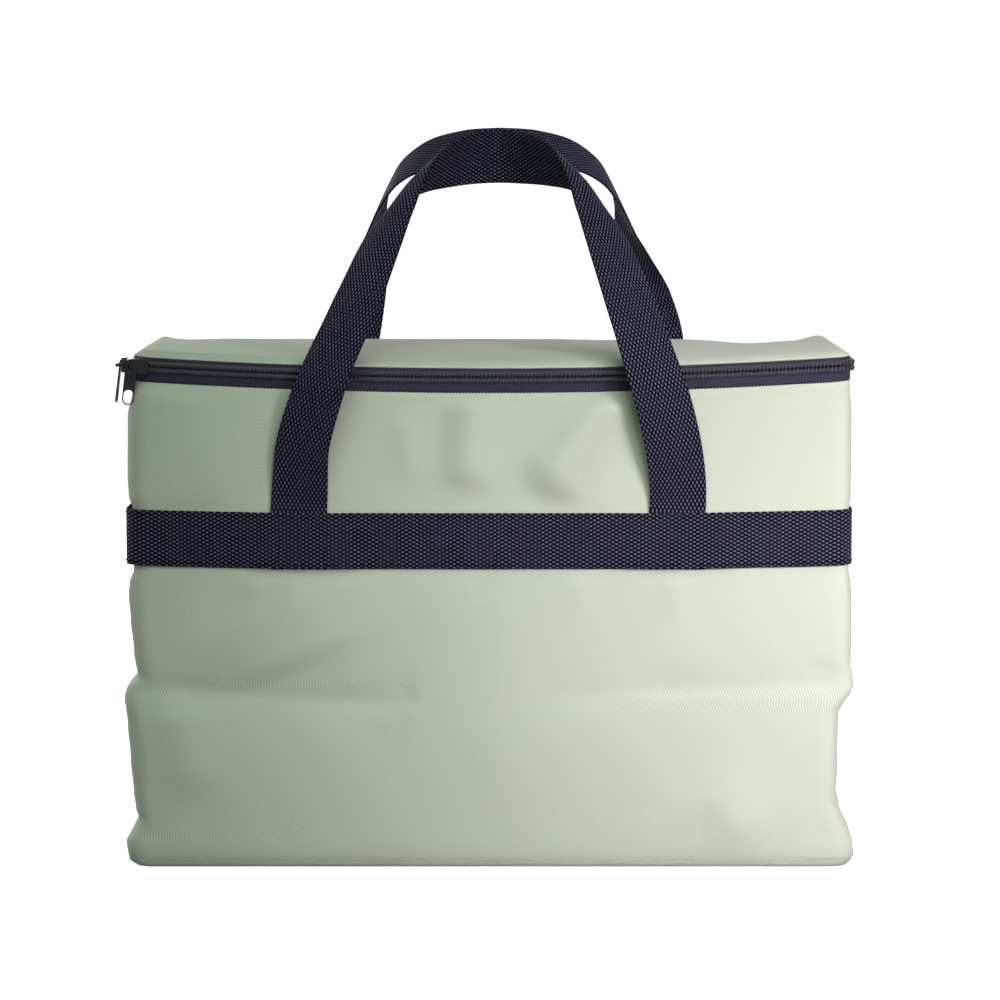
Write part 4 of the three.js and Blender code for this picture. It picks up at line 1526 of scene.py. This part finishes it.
@dataclass
class Webbing:
    """Strip of webbing along a centre line, with its relief on one or both faces.

    Attributes:
        weave: its relief.
        selvage: how far its edges swing in and out with the floats.
    """

    weave: Weave = field(default_factory=Weave)
    selvage: float = 0.12

    def build(
        self, name: str, centre: np.ndarray, width: np.ndarray, normal: np.ndarray,
        along: np.ndarray, closed: bool = False, both: bool = True, cup: np.ndarray | float = 0,
    ) -> bpy.types.Object:
        """Mesh of the strip.

        Args:
            name: the piece's name.
            centre: centre line, points by 3.
            width: unit directions across the strip at each point.
            normal: unit directions out of its outer face.
            along: length along the strip at each point; a closed strip's last length is one more.
            closed: whether the strip's ends meet.
            both: whether the inner face has relief too.
            cup: how far the edges bend back from the middle, one for each point.

        Returns:
            The new object.
        """
        weave = self.weave
        face = weave.across()
        inner = face if both else np.linspace(face[0], face[-1], 4)
        rows = along[: len(centre), None]
        outer_up = weave.raised(face[None], rows)
        inner_up = outer_up if both else np.ones((len(rows), len(inner)))
        swing = np.cos(2 * math.pi * rows / weave.float_length) - 1
        edge = weave.width / 2 + self.selvage * swing
        ones, level = np.ones_like(rows), np.zeros_like(rows)
        across = np.concatenate([face * ones, edge, inner[::-1] * ones, -edge], 1)
        outer = weave.thickness / 2 - weave.depth * (1 - outer_up)
        under = weave.depth * (1 - inner_up[:, ::-1]) - weave.thickness / 2
        out = np.concatenate([outer, level, under, level], 1)
        out += cup * (1 / 3 - (across / (weave.width / 2)) ** 2)
        points = centre[:, None] + across[..., None] * width[:, None]
        points += out[..., None] * normal[:, None]
        place = np.concatenate([across[0], across[0, :1]])
        cloth = np.stack(np.broadcast_arrays(place[None], along[:, None]), -1)
        return Grid(points, cloth, wrap_rows=closed).build(name)


@dataclass
class WaistBand:
    """Webbing band round the waist, over the ends of the handles.

    Attributes:
        outline, finishes, repeater: the body's outline, the materials and what repeats stitches.
        gap: gap between the wall, the tails and the band.
        ramp: how far past a tail the band takes to come down to the wall.
        lift: how much higher it runs at the corners.
        slack: how far it stands off the left wall.
        hem, pitch: how far in its rows of stitches lie, and the distance between two stitches.
        short: how far the handles' ends stop below its upper edge.
        tail_centres: places of the handles' ends on both sides.
    """

    outline: BagOutline
    finishes: Finishes
    repeater: Repeater
    gap: float = 0.3
    ramp: float = 21.0
    lift: float = 2.0
    slack: float = 2.2
    hem: float = 2.2
    pitch: float = 3.2
    short: float = 3.6
    tail_centres: dict[Side, tuple[float, float]] = field(default_factory=dict)

    def __post_init__(self) -> None:
        """Reads the tails' places off the frame."""
        for side, word in ((Side.FRONT, "front"), (Side.BACK, "back")):
            boxes = [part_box(f"{word}_handle_tail_{end}") for end in ("left", "right")]
            self.tail_centres[side] = tuple((low.x + high.x) / 2 / MM for low, high in boxes)

    def rise(self, x: np.ndarray) -> np.ndarray:
        """How much higher the band runs towards the corners."""
        return self.lift * (np.abs(x) / self.outline.half_width) ** 3

    def stand(self, columns: Columns, x: np.ndarray, weave: Weave) -> np.ndarray:
        """How far the band's inner face stands off the wall."""
        over = np.zeros(len(columns.run))
        for side, centres in self.tail_centres.items():
            on_side = columns.run[:, 3] * side.value[1] > 0.99
            for centre in centres:
                past = np.abs(x - centre) - weave.width / 2 - self.gap
                over = np.maximum(over, on_side * smooth(1 - past / self.ramp))
        slack = self.slack * np.clip(-columns.run[:, 2], 0, 1) ** 2
        return self.gap + (weave.thickness + self.gap) * over + slack

    def build(self) -> None:
        """Builds the band, its edge stitches and the handle ends under it."""
        weave = Weave()
        columns = self.outline.columns(0.82)
        middle = (self.outline.band_low + self.outline.band_high) / 2
        wall = self.outline.level(columns, 0, middle)
        normal = np.pad(columns.run[:, 2:], ((0, 0), (0, 1)))
        stand = self.stand(columns, wall[:, 0], weave) + weave.thickness / 2
        centre = wall + normal * stand[:, None]
        centre[:, 2] += self.rise(wall[:, 0])
        whole = columns.length[-1]
        floats = round(whole / weave.float_length)
        along = columns.length * (floats * weave.float_length / whole)
        up = np.tile((0.0, 0.0, 1.0), (len(centre), 1))
        webbing = Webbing(weave)
        band = webbing.build("waist_webbing", centre, up, normal, along, closed=True, both=False)
        dress(band, Body.BAG, self.finishes.webbing, ("waist_band",))
        face = centre + normal * (weave.thickness / 2)
        for edge, word in ((-1, "lower"), (1, "upper")):
            line = face + edge * (weave.width / 2 - self.hem) * up
            self.stitches(f"band_stitches_{word}", line)
        for side, centres in self.tail_centres.items():
            for centre_x, end in zip(centres, ("left", "right")):
                self.tail(side, centre_x, end)

    def stitches(self, name: str, line: np.ndarray) -> None:
        """Row of navy stitches along the band."""
        path = [(x, 0, 0) for x in (-1.1, -0.8, 0, 0.8, 1.1)]
        stitch = bent_rod("stitch", path, radius=0.24, sides=6)
        row = self.repeater.repeat(name, line, self.pitch, stitch, self.finishes.webbing)
        bpy.data.objects.remove(stitch)
        dress(row, Body.BAG, self.finishes.webbing)

    def tail(self, side: Side, x: float, end: str) -> None:
        """One end of a handle's webbing, flat on the wall under the band."""
        weave = Weave()
        low, high = self.outline.band_low, self.outline.band_high - self.short
        along = np.arange(low, high, weave.float_length / 4)
        out = self.outline.half_depth + self.gap + weave.thickness / 2
        facing, word = side.value[1], side.name.lower()
        ones = np.ones((len(along), 1))
        centre = (x, facing * out, 0) * ones + along[:, None] * (0, 0, 1)
        width, normal = (1, 0, 0) * ones, (0, facing, 0) * ones
        name, node = f"{word}_strap_end_{end}", f"{word}_handle_tail_{end}"
        piece = Webbing(weave).build(name, centre, width, normal, along, both=False)
        dress(piece, Body.BAG, self.finishes.webbing, (node,))


@dataclass(frozen=True)
class Station:
    """Place on half of a handle's route.

    Attributes:
        span: half of the handle's width there, as a share.
        rise: its height as a share.
        lean: how far it leans over the lid, as a share of half the depth.
        stand: its stand-off outward.
        width: direction across the webbing, with X counted towards the middle.
        cup: how far the webbing's edges bend back from its middle there.
    """

    span: float
    rise: float
    lean: float
    stand: float
    width: Point
    cup: float = 0.3


# Routes of the handles, each half from its foot to the middle; both halves start alike.
FOOT = (Station(1, 0, 0, 2, (1, 0, 0)), Station(1, 0.02, 0, 2, (1, 0, 0)))
FRONT_LEFT = (
    *FOOT,
    Station(1, 0.085, 0, 6, (0.98, -0.18, 0)),
    Station(0.995, 0.185, 0, 12, (0.94, -0.33, 0), 0.5),
    Station(0.945, 0.308, 0, 16, (0.91, -0.41, 0), 0.8),
    Station(0.893, 0.4, 0, 17, (0.88, -0.46, 0), 0.8),
    Station(0.745, 0.592, 0.1, 16, (0.85, -0.5, 0), 1),
    Station(0.622, 0.76, 0.24, 12, (0.72, -0.7, 0), 2),
    Station(0.548, 0.848, 0.34, 10, (0.55, -0.8, 0.15), 3.6),
    Station(0.465, 0.92, 0.48, 8, (0.42, -0.75, 0.5), 4.2),
    Station(0.36, 0.963, 0.64, 6, (0.3, -0.6, 0.74), 2.6),
    Station(0.235, 0.985, 0.8, 4, (0.15, -0.42, 0.9), 1.2),
    Station(0.11, 0.997, 0.91, 2, (0.05, -0.25, 0.97), 0.6),
    Station(0, 1, 0.95, 0, (0, -0.2, 0.98), 0.3),
)
FRONT_RIGHT = (
    *FOOT,
    Station(0.99, 0.085, 0, 6, (1, -0.05, 0)),
    Station(0.955, 0.185, 0, 12, (0.98, -0.1, 0), 0.5),
    Station(0.89, 0.308, 0, 16, (0.97, -0.2, 0), 0.8),
    Station(0.828, 0.4, 0, 17, (0.95, -0.28, 0), 0.8),
    Station(0.7, 0.592, 0.1, 16, (0.9, -0.42, 0), 1),
    Station(0.592, 0.76, 0.24, 12, (0.76, -0.65, 0), 2),
    Station(0.53, 0.848, 0.34, 10, (0.6, -0.78, 0.1), 3.6),
    Station(0.455, 0.928, 0.48, 8, (0.45, -0.75, 0.45), 4.2),
    Station(0.36, 0.97, 0.64, 6, (0.3, -0.6, 0.74), 2.6),
    Station(0.235, 0.99, 0.8, 4, (0.15, -0.42, 0.9), 1.2),
    Station(0.11, 0.998, 0.91, 2, (0.05, -0.25, 0.97), 0.6),
    Station(0, 1, 0.95, 0, (0, -0.2, 0.98), 0.3),
)
BACK_TOP = (
    Station(0.645, 0.86, 0.48, 4, (0.05, 0.97, 0.2)),
    Station(0.545, 0.93, 0.64, 3, (0, 0.94, 0.33)),
    Station(0.4, 0.975, 0.76, 2, (0, 0.86, 0.5)),
    Station(0.2, 0.996, 0.83, 0, (0, 0.78, 0.62)),
    Station(0, 1, 0.85, 0, (0, 0.75, 0.66)),
)
BACK_LEFT = (
    *FOOT,
    Station(0.98, 0.09, 0, 6, (1, 0, 0)),
    Station(0.915, 0.22, 0, 10, (1, 0, 0)),
    Station(0.86, 0.34, 0, 11, (0.95, 0.2, 0)),
    Station(0.825, 0.44, 0, 10.5, (0.9, 0.3, 0)),
    Station(0.785, 0.56, 0.04, 9, (0.8, 0.5, 0)),
    Station(0.75, 0.67, 0.14, 7, (0.5, 0.85, 0)),
    Station(0.705, 0.775, 0.3, 5, (0.2, 0.96, 0.1)),
    *BACK_TOP,
)
BACK_RIGHT = (
    *FOOT,
    Station(0.99, 0.09, 0, 6, (1, 0, 0)),
    Station(0.965, 0.22, 0, 10, (1, 0, 0)),
    Station(0.935, 0.34, 0, 11, (1, 0.05, 0)),
    Station(0.9, 0.44, 0, 10.5, (1, 0.12, 0)),
    Station(0.83, 0.56, 0.04, 9, (0.92, 0.36, 0)),
    Station(0.765, 0.67, 0.14, 7, (0.6, 0.8, 0)),
    Station(0.71, 0.775, 0.3, 5, (0.2, 0.96, 0.1)),
    *BACK_TOP,
)


def spline(points: np.ndarray, steps: int) -> np.ndarray:
    """Centripetal Catmull-Rom curve through points, with steps places between each two."""
    before, after = 2 * points[0] - points[1], 2 * points[-1] - points[-2]
    held = np.vstack([before, points, after])
    made = []
    for k in range(len(points) - 1):
        p0, p1, p2, p3 = held[k : k + 4]
        spans = (math.dist(a, b) for a, b in ((p0, p1), (p1, p2), (p2, p3)))
        d0, d1, d2 = (max(math.sqrt(span), 1e-4) for span in spans)
        m1 = ((p1 - p0) / d0 - (p2 - p0) / (d0 + d1) + (p2 - p1) / d1) * d1
        m2 = ((p2 - p1) / d1 - (p3 - p1) / (d1 + d2) + (p3 - p2) / d2) * d1
        t = (np.arange(steps) / steps)[:, None]
        squared, cubed = 3 * (p2 - p1) - 2 * m1 - m2, 2 * (p1 - p2) + m1 + m2
        made.append(p1 + m1 * t + squared * t**2 + cubed * t**3)
    return np.vstack([*made, points[-1:]])


@dataclass
class CarryHandle:
    """Webbing handle on one side, from under the band over the bag and back.

    Attributes:
        outline, finishes: the body's outline and the materials.
        side: the side that it stands on.
        body: the body that carries it; not used.
        halves: left and right half of its route, each from its foot to the middle.
        top: height of its middle.
        shifts: sideways shift of its feet and of its top.
        spread: half of the distance between its legs at the foot.
        foot: height at which it comes out over the band.
        tuck: how far below that the webbing takes to come down to the wall.
        bend: heights over the band's upper edge; not used.
    """

    outline: BagOutline
    finishes: Finishes
    side: Side
    body: Body
    halves: tuple[tuple[Station, ...], tuple[Station, ...]]
    top: float
    shifts: tuple[float, float]
    spread: float = 100.0
    foot: float = 191.5
    tuck: float = 4.6
    bend: tuple[float, float] = (-0.5, 9.0)

    def place(self, station: Station, mirror: int) -> np.ndarray:
        """Point, width direction and cup of a station, with 1 as mirror on the left, else -1."""
        foot, top = self.shifts
        shift = foot + (top - foot) * min(1, 2 * station.rise)
        y = self.side.value[1] * (self.outline.half_depth * (1 - station.lean) + station.stand)
        x = -mirror * station.span * self.spread + shift
        z = self.foot + station.rise * (self.top - self.foot)
        return np.array((x, y, z, mirror * station.width[0], *station.width[1:], station.cup))

    def line(self) -> tuple[np.ndarray, np.ndarray]:
        """Centre line, and width directions with the cup after them."""
        left, right = self.halves
        places = [self.place(station, 1) for station in left]
        places += [self.place(station, -1) for station in right[-2::-1]]
        stations, steps = np.array(places), 16
        centre = spline(stations[:, :3], steps)
        at = np.arange(len(centre)) / steps
        return self.with_feet(centre, resampled(stations[:, 3:], np.arange(len(stations)), at))

    def with_feet(self, centre: np.ndarray, width: np.ndarray) -> tuple[np.ndarray, np.ndarray]:
        """Adds both feet, which bend in to lie flat on the wall under the band."""
        depth = np.linspace(self.tuck, 0, 8)[:-1]
        inward = self.side.value[1] * (1 - smooth(1 - depth / self.tuck))
        feet = []
        for end in (centre[0], centre[-1]):
            foot = np.tile(end, (len(depth), 1))
            foot[:, 2] -= depth
            foot[:, 1] -= inward
            feet.append(foot)
        lines = np.vstack([feet[0], centre, feet[1][::-1]])
        extra = len(depth)
        widths = np.vstack([np.tile(width[0], (extra, 1)), width, np.tile(width[-1], (extra, 1))])
        return lines, widths

    def build(self) -> bpy.types.Object:
        """Builds the handle."""
        weave = Weave()
        centre, width = self.line()
        reach = distances(centre)
        count = round(reach[-1] / (weave.float_length / 4))
        along = np.linspace(0, reach[-1], count + 1)
        centre, width = (resampled(part, reach, along) for part in (centre, width))
        tangent = unit(np.gradient(centre, axis=0))
        width, cup = width[:, :3], width[:, 3]
        width = unit(width - tangent * np.sum(width * tangent, -1, keepdims=True))
        normal = np.cross(tangent, width) * self.side.value[1]
        word, webbing = self.side.name.lower(), Webbing(weave)
        name, bent = f"{word}_carry_strap", cup[:, None]
        piece = webbing.build(name, centre, width, normal, along, cup=bent)
        piece.data.materials.append(self.finishes.webbing)
        note(piece, (f"handle_{word}",))
        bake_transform(piece)
        return piece


# Sliders and pull tabs


@dataclass
class Fitting:
    """Slider or pull tab with its edges rounded.

    Attributes:
        finishes: the materials.
        node: the CAD node that gives its form.
        name: the piece's name.
        body: the body that carries it.
        edge: how far its edges are rounded, in millimetres.
        sharp: the angle over which an edge is rounded, in degrees.
    """

    finishes: Finishes
    node: str
    name: str
    body: Body
    edge: float = 0.22
    sharp: float = 24

    def build(self) -> bpy.types.Object:
        """Builds the rounded piece."""
        source = bpy.data.objects[self.node]
        form = bmesh.new()
        form.from_mesh(source.data)
        form.transform(source.matrix_world)
        bmesh.ops.remove_doubles(form, verts=form.verts, dist=2e-6)
        flat, limit = math.radians(1), math.radians(self.sharp)
        bmesh.ops.dissolve_limit(form, angle_limit=flat, verts=form.verts, edges=form.edges)
        turned = [e for e in form.edges if len(e.link_faces) == 2 and e.calc_face_angle(0) > limit]
        bmesh.ops.bevel(
            form, geom=turned, offset=self.edge * MM, offset_type="OFFSET", segments=2,
            profile=0.6, affect="EDGES", clamp_overlap=True,
        )
        bmesh.ops.triangulate(form, faces=[f for f in form.faces if len(f.verts) > 4])
        mesh = bpy.data.meshes.new(self.name)
        form.to_mesh(mesh)
        form.free()
        mesh.shade_smooth()
        mesh.set_sharp_from_angle(angle=math.radians(50))
        piece = link(bpy.data.objects.new(self.name, mesh))
        return dress(piece, self.body, self.finishes.metal, (self.node,))


# CAD node, piece and body of each slider and pull tab.
FITTINGS = (
    ("slider_front", "front_slider_body", Body.FRONT_SLIDER),
    ("pull_tab_front", "front_pull", Body.FRONT_TAB),
    ("slider_side", "side_slider_body", Body.SIDE_SLIDER),
    ("pull_tab_side", "side_pull", Body.SIDE_TAB),
)


# Studio


@dataclass(frozen=True)
class SoftLight:
    """Rectangular lamp aimed at a point.

    Attributes:
        name: the lamp's name.
        place: where it stands.
        aim: what it points at.
        size: width and height of its face.
        power: its power in watts.
        tint: its colour.
        spread: how wide its beam is, in degrees.
    """

    name: str
    place: Point
    aim: Point
    size: tuple[float, float]
    power: float
    tint: Point = (1, 1, 1)
    spread: float = 180

    def build(self) -> bpy.types.Object:
        """Adds the lamp."""
        lamp = bpy.data.lights.new(self.name, "AREA")
        lamp.shape = "RECTANGLE"
        lamp.size, lamp.size_y = self.size
        lamp.energy = self.power
        lamp.color = self.tint
        lamp.spread = math.radians(self.spread)
        piece = link(bpy.data.objects.new(self.name, lamp))
        piece.location = self.place
        beam = Vector(self.aim) - Vector(self.place)
        piece.rotation_euler = beam.to_track_quat("-Z", "Y").to_euler()
        return piece


@dataclass(frozen=True)
class Studio:
    """Pale floor and backdrop, soft lamps and the camera.

    Attributes:
        bounce: how much light the white paper throws back on the bag.
        fill: how bright the even light from all round is.
        eye, tilt, focal: where the camera stands, how far it looks down, in degrees, and its
            focal length.
        lamps: the lamps.
    """

    bounce: float = 0.3
    fill: float = 0.1
    eye: Point = (0.0047, -2.295, 0.397)
    tilt: float = 5.2
    focal: float = 150.5
    lamps: tuple[SoftLight, ...] = (
        SoftLight(
            "Key", (0.6, -0.9, 0.4), (0.3, -0.1, 0.15), (0.4, 0.4), 1.32, (1, 0.87, 0.96), 46
        ),
        SoftLight(
            "Middle", (0.25, -1.2, 0.35), (0.03, -0.1, 0.16), (0.3, 0.3), 0.08, (1, 0.9, 0.95), 22
        ),
        SoftLight("Front", (0, -1.3, 1.3), (0, -0.09, 0.15), (0.8, 0.8), 10, (0.86, 1, 0.9)),
        SoftLight("Rim", (-1.2, 0.5, 0.5), (-0.19, 0, 0.12), (0.5, 0.6), 6, (1, 0.97, 0.92)),
        SoftLight("Back", (-0.6, 1.5, 0.5), (0, 0.1, 0.15), (0.7, 0.7), 5),
        SoftLight("Top", (0.1, 0.5, 1.3), (0, 0, 0.27), (0.8, 0.6), 1.1),
    )

    def ground(self) -> None:
        """Floor that turns up into the backdrop, white to the camera apart from the shadow."""
        reach, depth, bend = 4.0, 3.6, 0.8
        profile = [(-reach, 0.0)]
        for angle in np.linspace(0, math.pi / 2, 17).tolist():
            profile.append((depth - bend + bend * math.sin(angle), bend - bend * math.cos(angle)))
        profile.append((depth, reach))
        points = [(side * reach, y, z) for y, z in profile for side in (-1, 1)]
        faces = [(k, k + 1, k + 3, k + 2) for k in range(0, len(points) - 2, 2)]
        mesh = bpy.data.meshes.new("studio_paper")
        mesh.from_pydata(points, [], faces)
        mesh.shade_smooth()
        paper = link(bpy.data.objects.new("studio_paper", mesh))
        mesh.materials.append(self.paper_material())

    def paper_material(self) -> bpy.types.Material:
        """Matt paper, which the camera sees nearly at full white."""
        material = bpy.data.materials.new("Studio paper")
        material.use_nodes = True
        nodes = Nodes(material.node_tree)
        white, dull = (1, 1, 1, 1), (self.bounce, self.bounce, self.bounce, 1)
        matt = nodes.add("ShaderNodeBsdfDiffuse", {"Color": dull}).outputs[0]
        shown = nodes.add("ShaderNodeBsdfDiffuse", {"Color": white}).outputs[0]
        place = nodes.add("ShaderNodeSeparateXYZ", {0: nodes.spot()}).outputs[1]
        near_far = {0: place, 1: 0.2, 2: 1.6, 3: 0.75, 4: 1.0}
        far = nodes.add("ShaderNodeMapRange", near_far).outputs[0]
        glow = nodes.add("ShaderNodeEmission", {"Color": white, "Strength": far}).outputs[0]
        both = nodes.add("ShaderNodeAddShader", {0: shown, 1: glow}).outputs[0]
        choice = nodes.add("ShaderNodeMixShader", {0: self.seen(nodes), 1: matt, 2: both})
        nodes.add("ShaderNodeOutputMaterial", {"Surface": choice.outputs[0]})
        return material

    def seen(self, nodes: Nodes) -> bpy.types.NodeSocket:
        """1 for rays that show the background: to the camera, mirrored or through glass."""
        path = nodes.add("ShaderNodeLightPath").outputs
        mirrored_too = nodes.math("MAXIMUM", path["Is Camera Ray"], path["Is Glossy Ray"])
        return nodes.math("MAXIMUM", mirrored_too, path["Is Transmission Ray"])

    def air(self) -> None:
        """Even pale light from all round."""
        world = bpy.data.worlds.new("Studio air")
        bpy.context.scene.world = world
        world.use_nodes = True
        nodes = Nodes(world.node_tree)
        level = nodes.mix(self.seen(nodes), (self.fill, self.fill, self.fill, 1), (1, 1, 1, 1))
        air = nodes.add("ShaderNodeBackground", {"Color": level})
        nodes.add("ShaderNodeOutputWorld", {"Surface": air.outputs[0]})

    def camera(self) -> None:
        """Camera at the photo's angle."""
        lens = bpy.data.cameras.new("Camera")
        lens.lens, lens.sensor_width = self.focal, 36
        camera = link(bpy.data.objects.new("Camera", lens))
        camera.location = self.eye
        camera.rotation_euler = (math.radians(90 - self.tilt), 0, 0)
        bpy.context.scene.camera = camera

    def build(self) -> None:
        """Builds the whole studio."""
        bpy.context.scene.view_settings.view_transform = "Standard"
        self.ground()
        self.air()
        for lamp in self.lamps:
            lamp.build()
        self.camera()


def main() -> None:
    """Builds every piece in order."""
    logging.basicConfig(level=logging.INFO, format="%(message)s")
    finishes = Finishes()
    outline = bag_outline()
    repeater = Repeater()
    BagBody(outline, finishes).build()
    Lid(outline, finishes).build()
    Zipper(outline, finishes, repeater).build()
    WaistBand(outline, finishes, repeater).build()
    front, back = (FRONT_LEFT, FRONT_RIGHT), (BACK_LEFT, BACK_RIGHT)
    CarryHandle(outline, finishes, Side.FRONT, Body.FRONT_HANDLE, front, 377.1, (-1.5, 3.5)).build()
    CarryHandle(outline, finishes, Side.BACK, Body.BACK_HANDLE, back, 382.6, (0, 5)).build()
    for node, name, body in FITTINGS:
        Fitting(finishes, node, name, body).build()
    Studio().build()


if __name__ == "__main__":
    main()
